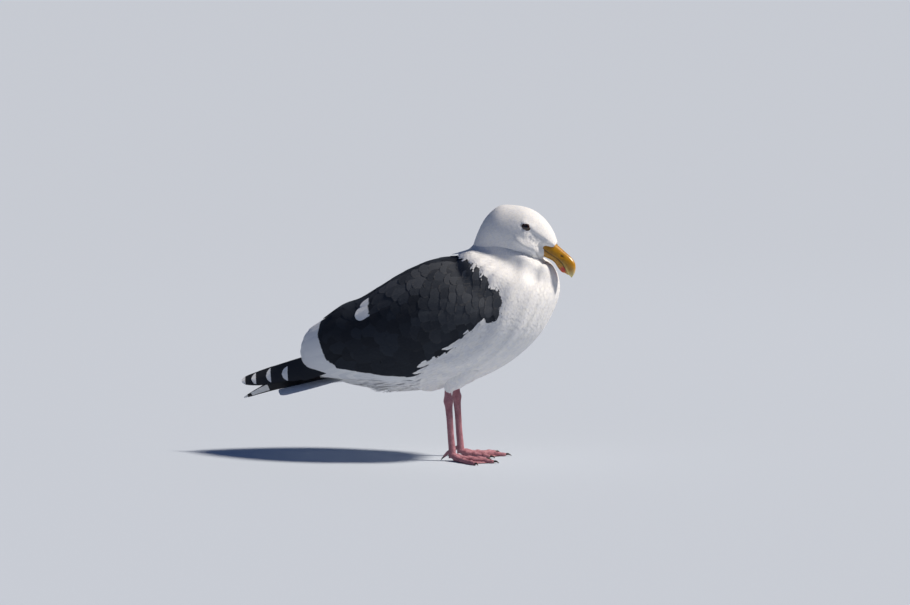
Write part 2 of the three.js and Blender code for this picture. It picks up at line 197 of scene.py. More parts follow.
def spline(rows, u):
    """A smooth curve through rows of numbers, each column on its own; it runs straight on past both
    ends."""
    last = len(rows) - 1
    u = np.asarray(u, float)
    held = np.clip(u, 0, last)
    i = np.minimum(held.astype(int), last - 1)
    t = (held - i)[..., None]
    a, b, c, d = (rows[np.clip(i + k, 0, last)] for k in (-1, 0, 1, 2))
    bend = 2 * a - 5 * b + 4 * c - d + t * (3 * (b - c) + d - a)
    slope = 0.5 * (c - a + 2 * t * (2 * a - 5 * b + 4 * c - d) + 3 * t * t * (3 * (b - c) + d - a))
    return b + 0.5 * t * (c - a + t * bend) + (u - held)[..., None] * slope


def smooth(low, high, x):
    """0 below low, 1 above high, and a smooth step in between."""
    t = np.clip((x - low) / (high - low), 0, 1)
    return t * t * (3 - 2 * t)


def signed_power(x, power):
    """A power of the size of x, with its sign kept."""
    return np.sign(x) * np.abs(x) ** power


def ring_angles(count):
    """Even angles round a closed ring."""
    return np.arange(count) * TAU / count


def soft_positive(x):
    """Nothing below zero and x above it, with a soft bend between."""
    return 0.5 * (x + np.sqrt(x ** 2 + 0.03 ** 2))


def unit(v):
    """Directions of length one."""
    return v / np.maximum(np.linalg.norm(v, axis=-1, keepdims=True), 1e-9)


def turned(points, share):
    """Points turned with the head, by a share of its turn about the upright line at the pivot."""
    angle = HEAD_TURN * share
    x, y, z = points[..., 0] - HEAD_PIVOT_X, points[..., 1], points[..., 2]
    c, s = np.cos(angle), np.sin(angle)
    return np.stack([HEAD_PIVOT_X + x * c - y * s, x * s + y * c, z], -1)


def oval(rows, u, angle, share, grow=0.0):
    """The point at an angle from the back, on the section at u: two half superellipses that meet at the
    widest level."""
    r = spline(rows, u)
    span = r[..., 2:4] - r[..., 0:2]
    length = np.linalg.norm(span, axis=-1)
    down = span / length[..., None]
    half, widest = r[..., 4], r[..., 5]
    cos, sin = np.cos(angle), np.sin(angle)
    above = cos > 0
    power = 2 / np.where(above, r[..., 6], r[..., 7])
    reach = np.where(above, widest, 1 - widest) * length + grow
    rise = signed_power(cos, power) * reach
    out = signed_power(sin, power) * (half + grow)
    level = widest * length - rise
    x = r[..., 0] + down[..., 0] * level
    z = r[..., 1] + down[..., 1] * level
    return turned(np.stack(np.broadcast_arrays(x, out, z), -1), share)


def body(u, angle, grow=0.0):
    """The body from rump to throat; its last rows turn with the head."""
    return oval(BODY, u, angle, smooth(9, 12, u), grow)


def from_line(x, z, start, end):
    """How far points are from the line between two points, as seen from the side."""
    along = np.array(end, float) - start
    share = np.clip(((x - start[0]) * along[0] + (z - start[1]) * along[1]) / (along @ along), 0, 1)
    return np.hypot(x - start[0] - share * along[0], z - start[1] - share * along[1])


def swelling(x, z, start, end, width):
    """1 on the line between two points seen from the side, falling off smoothly over a width."""
    return np.exp(-((from_line(x, z, start, end) / width) ** 2))


def face_relief(x, z):
    """The swellings and furrows of the side of the head, seen from the side: the furrow back from the
    gape, the full fold under it, the brow, the hollow before the eye and the fine folds between eye and
    bill."""
    above = ((z - GAPE[0][1]) * 12.5 + (x - GAPE[0][0]) * 9) / 15.4
    between = smooth(1.5, 4, above) * smooth(15, 11, above) * smooth(103, 109, x)
    folds = 0.16 * np.sin(above * TAU / 3.6) * between
    relief = 3.4 * swelling(x, z, (91, 290), (127, 269.5), 5.0) * smooth(82, 100, x)
    relief += 1.1 * swelling(x, z, (99.5, 314), (111, 308.5), 2.8)
    relief -= 1.9 * swelling(x, z, *GAPE, 2.2)
    below = (312 - z) * 0.82 - (x - 103) * 0.57
    relief -= 2.6 * smooth(0, 7, below) * smooth(99, 117, x) * smooth(0, 4, above) * smooth(132, 124, x)
    return relief + folds


def head(u, angle, grow=0.0):
    """The head; below the line of the gape it narrows towards the bill, whose base stands out of it."""
    points = oval(HEAD, u, angle, 0.0, grow)
    x, y, z = points[..., 0], points[..., 1], points[..., 2]
    y = y + np.sign(y) * face_relief(x, z) * smooth(6, 13, np.abs(y))
    narrow = smooth(115.5, 123, x) * smooth(288, 281, z)
    y = y * (1 - narrow) + np.sign(y) * np.minimum(np.abs(y), 6.9) * narrow
    return turned(np.stack([x, y, z], -1), 1.0)


def wing_oval(row):
    """Half width, rise and height of the centre of the wing's oval, from a row of the wing."""
    rise = (row[..., 1] - row[..., 2]) / (1 - math.cos(WING_EDGE))
    return row[..., 3], rise, row[..., 1] - rise


def folded(u, angle, grow=0.0):
    """The outside of the folded wings: an oval round the body at each x, with the angle from its
    top."""
    row = spline(WING, u)
    half, rise, level = wing_oval(row)
    y = (half + grow) * np.sin(angle)
    z = level + (rise + grow) * np.cos(angle)
    return np.stack(np.broadcast_arrays(row[..., 0], y, z), -1)


def against_wing(points):
    """How far out points lie in the wing's oval (1 is on it), their angle from its top, and the oval's
    row."""
    stations = np.linspace(0, len(WING) - 1, 400)
    at = spline(WING, stations)
    u = np.interp(-points[..., 0], -at[:, 0], stations)
    half, rise, level = wing_oval(spline(WING, u))
    out = np.abs(points[..., 1]) / half
    up = (points[..., 2] - level) / rise
    return np.hypot(out, up), np.arctan2(out, up), u


def chest_relief(points, u, angle):
    """The full edge of the neck's side, the hollow ahead of it under the bill, and soft folds that run
    with the feathers of breast and flank."""
    x, y, z = points[..., 0], np.abs(points[..., 1]), points[..., 2]
    side = smooth(8, 20, y)
    relief = 2.6 * side * swelling(x, z, (97, 264), (101, 240), 8)
    relief -= 4.4 * side * swelling(x, z, (115, 264), (111, 242), 6.5)
    folds = np.sin(angle * 19 + 2.2 * np.sin(u * 1.3) + 1.5 * np.sin(angle * 5))
    on_side = smooth(0.2, 0.8, np.abs(np.sin(angle)))
    return relief + 0.7 * folds * smooth(4.0, 5.5, u) * smooth(10.2, 9.0, u) * on_side


def flank(u, angle):
    """The body's surface, moved out smoothly to the folded wing's where that lies outside it. Behind
    the legs that ends at the wing's lower edge. The chest's relief is added away from the wing's middle
    line."""
    points = body(u, angle)
    ratio, turn, row = against_wing(points)
    level = wing_oval(spline(WING, row))[2]
    x = points[..., 0]
    centre = np.stack(np.broadcast_arrays(x, 0.0, level), -1)
    edge = np.interp(x, [-45, -10], [131, 175]) * DEG
    push = soft_positive(1 / np.maximum(ratio, 0.3) - 1) * smooth(0.35, 0.6, ratio)
    push = push * smooth(edge + 20 * DEG, edge, turn) * smooth(-70, -35, x) * smooth(105, 90, x)
    relief = unit(points - centre) * chest_relief(points, u, angle)[..., None]
    return centre + (points - centre) * (1 + push)[..., None] + relief


def on_reach_grid(x, turn):
    """Where a place lies on body_reach's grid, counted in its steps."""
    return tuple((v - grid[0]) / (grid[1] - grid[0]) for v, grid in ((x, REACH_X), (turn, REACH_TURN)))


def body_reach():
    """How far out the body lies against the folded wing's oval, on a grid of distance back and angle
    from the top: the greatest reach found in each cell, smoothed twice each way."""
    u = np.linspace(0, len(BODY) - 1, 1400)[:, None]
    points = body(u, ring_angles(1440)[None, :])
    ratio, turn, _ = against_wing(points)
    reach = np.zeros((len(REACH_X), len(REACH_TURN)))
    i, k = (np.rint(v).astype(int) for v in on_reach_grid(points[..., 0], turn))
    inside = (i >= 0) & (i < len(REACH_X)) & (k >= 0) & (k < len(REACH_TURN))
    np.maximum.at(reach, (i[inside], k[inside]), ratio[inside])
    for axis in (0, 1, 0, 1):
        padded = np.concatenate([reach.take([0], axis), reach, reach.take([-1], axis)], axis)
        count = reach.shape[axis]
        low, middle, high = (padded.take(np.arange(count) + k, axis) for k in range(3))
        reach = (low + 2 * middle + high) / 4
    return reach


REACH_X = np.linspace(-60, 92, 77)
REACH_TURN = np.linspace(0, 150 * DEG, 76)
REACH = body_reach()


def cloak(u, angle):
    """The outside of the folded wings, moved out smoothly to the body's surface where that lies outside
    them."""
    points = folded(u, angle)
    level = wing_oval(spline(WING, u))[2]
    centre = np.stack(np.broadcast_arrays(points[..., 0], 0.0, level), -1)
    i, k = on_reach_grid(points[..., 0], np.abs(angle))
    i = np.clip(i, 0, len(REACH_X) - 1.001)
    k = np.clip(k + 0 * i, 0, len(REACH_TURN) - 1.001)
    row, column = i.astype(int), k.astype(int)
    down, across = i - row, k - column
    near = REACH[row, column] * (1 - down) + REACH[row + 1, column] * down
    far = REACH[row, column + 1] * (1 - down) + REACH[row + 1, column + 1] * down
    reach = near * (1 - across) + far * across
    push = soft_positive(reach - 1) * smooth(-60, -40, points[..., 0])
    return centre + (points - centre) * (1 + push)[..., None]


def leg_line(side):
    """The foot of one leg's own axis."""
    return np.array([0, side * LEG_Y, 0])


def mirrored(rows, side):
    """A limb's rows for its side of the bird."""
    return rows * np.array([1, side, 1, 1, 1])


def limb(rows, side, u, angle, grow=0.0):
    """A tube of ovals across a smooth line: fore and aft by the cosine of the angle, across by its
    sine."""
    placed = mirrored(rows, side)
    r = spline(placed, u)
    way = unit(spline(placed, u + 0.05)[..., :3] - spline(placed, u - 0.05)[..., :3])
    across = unit(np.array([0, 1, 0]) - way * way[..., 1:2])
    front = np.cross(across, way)
    fore = ((r[..., 3] + grow) * np.cos(angle))[..., None]
    out = ((r[..., 4] + grow) * np.sin(angle))[..., None]
    return r[..., :3] + front * fore + across * out


def frames(surface, way, u, angle):
    """The two tangents of a surface and its outward normal, by small differences."""
    step = 0.01
    along = (surface(u + step, angle) - surface(u - step, angle)) / (2 * step)
    around = (surface(u, angle + step) - surface(u, angle - step)) / (2 * step)
    return along, around, unit(np.cross(along, around)) * way


# ---- Meshes ----


def make_piece(name, points, faces, materials, slot):
    """A piece of the object from points in millimetres and an array of faces, riding on the body."""
    mesh = bpy.data.meshes.new(name)
    faces = np.asarray(faces, np.int32)
    sides = faces.shape[1]
    mesh.vertices.add(len(points))
    mesh.vertices.foreach_set("co", ((points + ORIGIN) * MM).astype(np.float32).ravel())
    mesh.loops.add(faces.size)
    mesh.loops.foreach_set("vertex_index", faces.ravel())
    mesh.polygons.add(len(faces))
    mesh.polygons.foreach_set("loop_start", np.arange(0, faces.size, sides, dtype=np.int32))
    mesh.polygons.foreach_set("use_smooth", np.ones(len(faces), bool))
    mesh.update(calc_edges=True)
    for material in materials:
        mesh.materials.append(material)
    made = bpy.data.objects.new(name, mesh)
    bpy.context.scene.collection.objects.link(made)
    if slot:
        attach(made, "root")
    return made


def set_map(made, name, uv):
    """A UV map from one place per vertex."""
    mesh = made.data
    corner = np.empty(len(mesh.loops), np.int32)
    mesh.loops.foreach_get("vertex_index", corner)
    layer = mesh.uv_layers.new(name=name, do_init=False)
    layer.uv.foreach_set("vector", uv[corner].astype(np.float32).ravel())


def set_values(made, name, values):
    """A number on every vertex."""
    layer = made.data.attributes.new(name, "FLOAT", "POINT")
    layer.data.foreach_set("value", np.asarray(values, np.float32))


def vertices_of(made):
    """An object's points in millimetres."""
    mesh = made.data
    points = np.empty(len(mesh.vertices) * 3, np.float32)
    mesh.vertices.foreach_get("co", points)
    return points.reshape(-1, 3).astype(float) / MM - ORIGIN


def tube_faces(rings, sides):
    """Triangles of a tube of rings with a middle point at each end, which are the last two points."""
    r, s = np.meshgrid(np.arange(rings - 1), np.arange(sides), indexing="ij")
    a = r * sides + s
    b = r * sides + (s + 1) % sides
    wall = np.concatenate([np.stack([a, b, b + sides], -1), np.stack([a, b + sides, a + sides], -1)])
    k = np.arange(sides)
    after = (k + 1) % sides
    last = (rings - 1) * sides
    first_cap = np.stack([np.full(sides, rings * sides), after, k], -1)
    last_cap = np.stack([np.full(sides, rings * sides + 1), last + k, last + after], -1)
    return np.concatenate([wall.reshape(-1, 3), first_cap, last_cap])


def closed_tube(rings):
    """Points and outward triangles of a closed tube, from an array of rings of points."""
    count, sides = rings.shape[:2]
    points = np.concatenate([rings.reshape(-1, 3), rings[:1].mean(1), rings[-1:].mean(1)])
    faces = tube_faces(count, sides)
    a, b, c = (points[faces[:, k]] for k in range(3))
    volume = np.einsum("ij,ij->i", a, np.cross(b, c)).sum()
    return points, faces if volume > 0 else faces[:, ::-1]


def finished(made):
    """The object's mesh replaced by what its modifiers make of it."""
    evaluated = made.evaluated_get(bpy.context.evaluated_depsgraph_get())
    mesh = bpy.data.meshes.new_from_object(evaluated)
    old = made.data
    made.modifiers.clear()
    made.data = mesh
    bpy.data.meshes.remove(old)
    return made


def combined(target, tool, operation):
    """A target joined with or cut by a tool, which is then removed."""
    modifier = target.modifiers.new("combine", "BOOLEAN")
    modifier.solver = "MANIFOLD"
    modifier.operation = operation
    modifier.object = tool
    finished(target)
    bpy.data.objects.remove(tool)
    return target


# ---- Materials ----


def linear(colour):
    """An sRGB hex colour as linear red, green, blue and alpha."""
    parts = [int(colour[i:i + 2], 16) / 255 for i in (1, 3, 5)]
    return [p / 12.92 if p <= 0.04045 else ((p + 0.055) / 1.055) ** 2.4 for p in parts] + [1.0]


def add(tree, kind, inputs=None, **settings):
    """Adds a node with its settings; an input is a value, or an output to link."""
    made = tree.nodes.new("ShaderNode" + kind)
    for key, value in settings.items():
        setattr(made, key, value)
    for key, value in (inputs or {}).items():
        socket = made.inputs[key]
        if isinstance(value, bpy.types.NodeSocket):
            tree.links.new(value, socket)
        else:
            socket.default_value = value
    return made


def new_material(name, **shader):
    """A material with a Principled shader whose own sockets are set; returns it, its tree and the
    shader."""
    made = bpy.data.materials.new(name)
    made.use_nodes = True
    tree = made.node_tree
    tree.nodes.clear()
    principled = add(tree, "BsdfPrincipled", {k.replace("_", " "): v for k, v in shader.items()})
    add(tree, "OutputMaterial", {"Surface": principled.outputs[0]})
    return made, tree, principled


def painted(made, shader, colour, bump=None):
    """The material, with a colour and a bump linked to its shader."""
    made.node_tree.links.new(colour, shader.inputs["Base Color"])
    if bump is not None:
        made.node_tree.links.new(bump, shader.inputs["Normal"])
    return made


def attribute(tree, name):
    """A number that the piece keeps on its vertices."""
    return add(tree, "Attribute", attribute_name=name).outputs["Fac"]


def object_place(tree):
    """The place on the object, in metres."""
    return add(tree, "TexCoord").outputs["Object"]


def worked(tree, operation, *values):
    """One operation on up to three numbers."""
    return add(tree, "Math", dict(enumerate(values)), operation=operation).outputs[0]


def ramp(tree, value, low, high, start=0.0, end=1.0):
    """A number taken evenly from the range low to high into the range start to end, and held at
    both."""
    ends = {"From Min": low, "From Max": high, "To Min": start, "To Max": end}
    return add(tree, "MapRange", {"Value": value, **ends}).outputs[0]


def noise(tree, place, scale, detail=2.0, **more):
    """Soft random mottle, scale times per unit of place."""
    return add(tree, "TexNoise", {"Vector": place, "Scale": scale, "Detail": detail, **more}).outputs[0]


def blend(tree, share, first, second, kind="MIX"):
    """Two colours blended by a share; a colour is a hex one or an output."""
    first, second = (linear(x) if isinstance(x, str) else x for x in (first, second))
    inputs = {"Factor": share, 6: first, 7: second}
    return add(tree, "Mix", inputs, data_type="RGBA", blend_type=kind).outputs[2]


def raised(tree, height, strength, distance):
    """A bump of a height, its depth in millimetres."""
    return add(tree, "Bump", {"Height": height, "Strength": strength, "Distance": distance * MM}).outputs[0]


def vane_pattern(tree, barb, strength, height, rachis=0.35, loose=0.0):
    """Bump of a vane: barbs that slant back from the rachis, each barb wide, the rachis as a fine
    ridge, and loose barbs that part in strands along the vane. The strands differ from feather to
    feather by its tone. Returns the bump, the barbs' wave, the place on the vane and the strands."""
    place = add(tree, "UVMap", uv_map="Vane").outputs[0]
    split = add(tree, "SeparateXYZ", {0: place})
    across = worked(tree, "ABSOLUTE", split.outputs["Y"])
    slant = worked(tree, "MULTIPLY_ADD", across, -1.1, split.outputs["X"])
    phase = worked(tree, "MULTIPLY_ADD", noise(tree, place, 1.6), 0.35, slant)
    wave = worked(tree, "SINE", worked(tree, "MULTIPLY", phase, TAU / barb))
    offset = worked(tree, "MULTIPLY", attribute(tree, "tone"), 60.0)
    own_place = add(tree, "VectorMath", {0: place, 1: offset}, operation="ADD").outputs[0]
    drawn_out = add(tree, "VectorMath", {0: own_place, 1: (0.8, 8.0, 1.0)}, operation="MULTIPLY").outputs[0]
    strands = noise(tree, drawn_out, 1.0, 3.0)
    quill = ramp(tree, across, 0.0, 0.06, rachis, 0.0)
    ridges = worked(tree, "MULTIPLY_ADD", wave, 0.5, quill)
    parted = worked(tree, "MULTIPLY_ADD", strands, loose, ridges)
    return raised(tree, parted, strength, height), wave, place, strands


def white_plumage():
    """White contour feathers: matt keratin barbs that scatter light softly, warmer or cooler from one
    to the next."""
    sheen = {"Sheen_Weight": 0.15, "Sheen_Roughness": 0.6}
    made, tree, shader = new_material("feather_white", Roughness=0.85, IOR=1.45, **sheen)
    bump, _, _, strands = vane_pattern(tree, 0.11, 0.4, 0.2, 0.1, 4.0)
    cool = blend(tree, attribute(tree, "tone"), "#e6e7ea", "#f0efec")
    parted = blend(tree, 1.0, cool, ramp(tree, strands, 0.3, 0.55, 0.86, 1.0), "MULTIPLY")
    base = ramp(tree, attribute(tree, "share"), 0.2, 0.6, 1.0, 0.0)
    return painted(made, shader, blend(tree, base, parted, "#cfd0d2"), bump)


def slate_plumage():
    """Slate contour feathers: matt melanin keratin, lighter and browner on the upper shoulder, partly where
    sun has worn it and partly as painted sunlight, with frayed paler rims, and white at the tips or past
    the slate's edge."""
    made, tree, shader = new_material("feather_slate", Roughness=0.72, IOR=1.45, Specular_IOR_Level=0.3)
    bump, wave, place, strands = vane_pattern(tree, 0.13, 0.45, 0.25, 0.35, 1.5)
    tone = attribute(tree, "tone")
    wear = attribute(tree, "wear")
    fresh = blend(tree, tone, "#10151e", "#1d2530")
    # The worn colour is lighter and browner: partly sun-worn feathers and partly painted sunlight where light
    # falls on the upper shoulder.
    worn_and_sunlit = blend(tree, tone, "#353a42", "#52555a")
    barbs = ramp(tree, wave, -1.0, 1.0, 0.88, 1.08)
    streaked = blend(tree, 1.0, blend(tree, wear, fresh, worn_and_sunlit), barbs, "MULTIPLY")
    edge = ramp(tree, attribute(tree, "rim"), 0.5, 0.9)
    frayed = worked(tree, "MULTIPLY", edge, ramp(tree, strands, 0.48, 0.58))
    worn_and_sunlit_fringe = worked(tree, "MULTIPLY", frayed, wear)
    fringed = blend(tree, worked(tree, "MULTIPLY", worn_and_sunlit_fringe, 0.3), streaked, "#6d675f")
    ragged = noise(tree, place, 9.0)
    drift = worked(tree, "MULTIPLY_ADD", ragged, 0.06, attribute(tree, "share"))
    past = worked(tree, "SUBTRACT", drift, attribute(tree, "white_from"))
    pale = worked(tree, "MULTIPLY_ADD", ragged, 0.25, attribute(tree, "pale"))
    white = worked(tree, "MAXIMUM", ramp(tree, past, 0.02, 0.045), ramp(tree, pale, 0.57, 0.67))
    whites = blend(tree, tone, "#dcdfe3", "#f7f7f5")
    return painted(made, shader, blend(tree, white, fringed, whites), bump)


def black_plumage():
    """Flight feathers: dense black keratin vanes, smooth and slightly glossy, with clean white tips and
    spots."""
    made, tree, shader = new_material("feather_black", Roughness=0.5, IOR=1.55)
    bump, wave, place, _ = vane_pattern(tree, 0.12, 0.4, 0.25, 0.8)
    drift = worked(tree, "MULTIPLY_ADD", noise(tree, place, 7.0), 0.01, attribute(tree, "share"))
    past = worked(tree, "GREATER_THAN", drift, attribute(tree, "mirror_from"))
    short = worked(tree, "LESS_THAN", drift, attribute(tree, "mirror_to"))
    off_shaft = worked(tree, "ABSOLUTE", attribute(tree, "side"))
    framed = worked(tree, "LESS_THAN", off_shaft, 0.74)
    window = worked(tree, "MULTIPLY", worked(tree, "MULTIPLY", past, short), framed)
    tip = worked(tree, "GREATER_THAN", drift, attribute(tree, "white_from"))
    black = blend(tree, ramp(tree, wave, -1.0, 1.0), "#0d0d10", "#1a1a1d")
    colour = blend(tree, worked(tree, "MAXIMUM", window, tip), black, "#f2f2f0")
    return painted(made, shader, colour, bump)


def plumage_skin():
    """Skin and down under the feathers: matt, with the same white and slate as the feathers over it."""
    made, tree, shader = new_material("skin_and_down", Roughness=0.9, IOR=1.4)
    down = noise(tree, object_place(tree), 900.0, 3.0)
    light = blend(tree, down, "#d9dadd", "#f2f2f0")
    dark = blend(tree, down, "#15171c", "#25272d")
    colour = blend(tree, attribute(tree, "slate"), light, dark)
    return painted(made, shader, colour, raised(tree, down, 0.5, 0.4))


def leg_skin():
    """Bare scaled skin of the legs and webs: flesh pink, slightly moist, darker in its creases."""
    under = {"Subsurface_Weight": 0.12, "Subsurface_Radius": (0.004, 0.0015, 0.001)}
    made, tree, shader = new_material("leg_skin", Roughness=0.48, IOR=1.42, **under)
    place = object_place(tree)
    scales = add(tree, "TexVoronoi", {"Vector": place, "Scale": 900.0}, feature="DISTANCE_TO_EDGE")
    crease = ramp(tree, scales.outputs[0], 0.0, 0.12)
    pink = add(tree, "ValToRGB", {"Fac": noise(tree, place, 160.0, 4.0, Roughness=0.6)})
    for end, position, colour in ((0, 0.3, "#985e6b"), (1, 0.7, "#c08a93")):
        pink.color_ramp.elements[end].position = position
        pink.color_ramp.elements[end].color = linear(colour)
    colour = blend(tree, crease, "#85595f", pink.outputs[0])
    return painted(made, shader, colour, raised(tree, crease, 0.5, 0.25))


def lid_skin():
    """The bare rim of the eyelids: thin wrinkled skin, dark umber."""
    made, tree, shader = new_material("lid_skin", Roughness=0.55, IOR=1.4)
    folds = noise(tree, object_place(tree), 1500.0)
    return painted(made, shader, blend(tree, folds, "#1f1712", "#4a3a2c"), raised(tree, folds, 0.4, 0.15))


def bill_horn():
    """Bill horn: smooth layered keratin, chrome yellow, glossy, with growth lines, a red spot and a
    paler tip."""
    under = {"Subsurface_Weight": 0.08, "Subsurface_Radius": (0.003, 0.0015, 0.0005)}
    gloss = {"Coat_Weight": 0.25, "Coat_Roughness": 0.2}
    made, tree, shader = new_material("bill_horn", Roughness=0.32, IOR=1.54, **under, **gloss)
    place = object_place(tree)
    along = attribute(tree, "along")
    level = attribute(tree, "level")
    yellow = blend(tree, noise(tree, place, 260.0, 4.0), "#9e6a03", "#c89310")
    pale = blend(tree, ramp(tree, along, 0.72, 1.0), yellow, "#e9dfa0")
    cutting_edge = worked(tree, "MULTIPLY", ramp(tree, level, 0.3, 0.1), ramp(tree, along, 0.35, 0.7))
    edged = blend(tree, cutting_edge, pale, "#e6cf73")
    # The spot lies at the angle of the lower mandible, on both sides.
    from_spot = add(tree, "VectorMath", {0: place, 1: tuple((SPOT + ORIGIN) * MM)}, operation="DISTANCE")
    spotted = ramp(tree, from_spot.outputs["Value"], 7.2 * MM, 5.4 * MM)
    red = blend(tree, worked(tree, "MULTIPLY", spotted, attribute(tree, "lower")), edged, "#c02408")
    mark = ramp(tree, noise(tree, place, 420.0, 1.0), 0.66, 0.72)
    marked = blend(tree, worked(tree, "MULTIPLY", mark, 0.55), red, "#5a3208")
    # A dark line painted along the mouth line, strongest towards the base: painted shade where the two
    # mandibles meet.
    mouth = worked(tree, "MULTIPLY", ramp(tree, level, 0.09, 0.04), ramp(tree, along, 0.6, 0.95, 0.65, 0.2))
    mouth_shaded = blend(tree, mouth, marked, "#3a2206")
    # The nostril is painted dark brown: painted shade inside its opening, which the shape only hints at.
    nostril_shaded = blend(tree, attribute(tree, "nostril"), mouth_shaded, "#2a1603")
    growth = worked(tree, "SINE", worked(tree, "MULTIPLY", along, 140.0))
    return painted(made, shader, nostril_shaded, raised(tree, growth, 0.12, 0.1))


def claw_horn():
    """Claws: black keratin worn smooth, with a fine mottle."""
    made, tree, shader = new_material("claw_horn", Roughness=0.35, IOR=1.54)
    mottle = noise(tree, object_place(tree), 700.0)
    return painted(made, shader, blend(tree, mottle, "#100d0b", "#3a2f29"), raised(tree, mottle, 0.2, 0.1))


def eye_wet():
    """The eye: a clear wet cornea over a dark brown mottled iris, a black pupil and a dark rim."""
    gloss = {"Coat_Weight": 1.0, "Coat_Roughness": 0.02}
    made, tree, shader = new_material("eye_wet", Roughness=0.06, IOR=1.376, **gloss)
    ring = attribute(tree, "ring")
    iris = blend(tree, noise(tree, object_place(tree), 1100.0, 3.0), "#1f0f06", "#4a2a12")
    inner = blend(tree, ramp(tree, ring, 0.34, 0.38), "#030303", iris)
    return painted(made, shader, blend(tree, ramp(tree, ring, 0.66, 0.74), inner, "#140d08"))


WHITE = white_plumage()
SLATE = slate_plumage()
BLACK = black_plumage()
SKIN = plumage_skin()
LEG = leg_skin()
LID = lid_skin()
HORN = bill_horn()
CLAW = claw_horn()
WET = eye_wet()

# ---- Skin ----

COAT_DEPTH = {"head": 2.2, "body": 5.0, "wing": 5.5}


def soft_skin():
    """Body, head, wings and thighs as one closed skin, inside the plumage by the coat's depth."""
    u = np.linspace(0, len(BODY) - 1, 60)[:, None]
    v = ring_angles(64)[None, :]
    parts = [closed_tube(body(u, v, -COAT_DEPTH["body"]))]
    u = np.linspace(0, len(HEAD) - 1, 50)[:, None]
    parts.append(closed_tube(head(u, v, -COAT_DEPTH["head"])))
    u = np.linspace(0.6, 11.2, 60)[:, None]
    edge = (132 - 62 * smooth(7.5, 11, u)) * DEG
    parts.append(closed_tube(folded(u, edge * np.linspace(-1, 1, 60)[None, :], -COAT_DEPTH["wing"])))
    for side in SIDES.values():
        u = np.linspace(0, 4, 24)[:, None]
        parts.append(closed_tube(limb(THIGH, side, u, ring_angles(24)[None, :], -1.5) + leg_line(side)))
    tail_u = np.linspace(0, 1, 12)[:, None]
    x = -120 - 55 * tail_u
    ring = ring_angles(24)[None, :]
    y = (22 - 6 * tail_u) * np.cos(ring)
    z = 108 - 12 * tail_u + (7 - 5 * tail_u) * np.sin(ring)
    parts.append(closed_tube(np.stack(np.broadcast_arrays(x, y, z), -1)))
    starts = np.cumsum([0] + [len(p) for p, _ in parts])
    points = np.concatenate([p for p, _ in parts])
    faces = np.concatenate([f + s for (_, f), s in zip(parts, starts)])
    skin = make_piece("skin", points, faces, [SKIN, LEG, LID], "white_plumage")
    remesh = skin.modifiers.new("one", "REMESH")
    remesh.mode = "VOXEL"
    remesh.voxel_size = 2.2 * MM
    relax = skin.modifiers.new("relax", "SMOOTH")
    relax.factor = 0.5
    relax.iterations = 4
    return finished(skin)


def scutes(rows, side, u, angle, spacing, height):
    """A limb with rows of plates across its front: each plate rises from its upper edge and drops to
    the next."""
    length = np.linalg.norm(np.diff(spline(rows, u[:, 0])[:, :3], axis=0), axis=1)
    run = np.concatenate([[0], np.cumsum(length)])[:, None]
    plate = (run / spacing) % 1
    front = smooth(-0.2, 0.6, np.cos(angle))
    ridge = height * front * (smooth(0, 0.15, plate) * (1 - 0.6 * plate))
    out = limb(rows, side, u, angle)
    middle = spline(mirrored(rows, side), u)[..., :3]
    return out + unit(out - middle) * ridge[..., None]


def shank(side):
    """One bare leg from inside the thigh's feathers to the joint of the toes, with plates down its
    front."""
    u = np.linspace(0, len(SHANK) - 1, 150)[:, None]
    return closed_tube(scutes(SHANK, side, u, ring_angles(28)[None, :], 2.9, 0.28) + leg_line(side))


def on_toe(name, share, side):
    """A point on a toe's line at a share of its length, level with the floor."""
    angle = TOE_SPREAD[name]
    r = TOE_LENGTH[name] * np.asarray(share, float)
    return np.stack([2 + r * math.cos(angle), -side * r * math.sin(angle), 0 * r], -1)


def toe(name, side):
    """A toe: a tapering tube that swells at its joints, flat where it rests, with plates across its
    top."""
    share = np.array([0, 0.09, 0.18, 0.26, 0.34, 0.42, 0.5, 0.58, 0.66, 0.74, 0.82, 0.9, 0.97, 1.0])
    knuckle = 0.5 * np.array([0, 0, 1, 0, 0, 0, 1, 0, 0, 0, 1, 0.2, 0, -1.4])
    half = 4.3 + (2.5 - 4.3) * share + knuckle
    z = 0.86 * half + 4.5 * (1 - share) ** 6
    place = on_toe(name, share, side)
    rows = np.stack([place[:, 0], place[:, 1], z, half * 0.95, half], -1)
    u = np.linspace(0, len(rows) - 1, 90)[:, None]
    rings = scutes(rows, 1, u, ring_angles(20)[None, :], 2.6, 0.3)
    rings[..., 2] = np.maximum(rings[..., 2], 0.0)
    return closed_tube(rings + leg_line(side))


def web(first, second, side):
    """A web: a thin sheet between two toes, hung a little between them, its front edge hollowed, with
    fine folds."""
    r = np.linspace(0.04, 1, 44)[:, None]
    t = np.linspace(0, 1, 33)[None, :]
    reach = 0.95 - 0.17 * np.sin(math.pi * t)
    a = on_toe(first, 1, side) - [2, 0, 0]
    b = on_toe(second, 1, side) - [2, 0, 0]
    flat = (a * (1 - t[..., None]) + b * t[..., None]) * (r * reach)[..., None] + [2, 0, 0]
    folds = 0.35 * np.sin(t * 34 + 5 * np.sin(r * 4)) * smooth(0, 0.3, r)
    folds = folds + 0.22 * np.sin(r * 60 + 3 * np.sin(t * 7))
    belly = np.sin(math.pi * t) * smooth(0.1, 0.6, r)
    top = 2.6 - 1.0 * belly + folds * np.sin(math.pi * t) ** 0.5
    rim = smooth(1.0, 0.93, r)
    upper = flat + np.stack([0 * top, 0 * top, 0.9 + (top - 0.9) * rim], -1)
    lower = flat + np.stack([0 * top, 0 * top, 0 * top + 0.35 + 0.45 * (1 - rim)], -1)
    rings = np.concatenate([upper, lower[:, ::-1]], 1)
    return closed_tube(rings + leg_line(side))


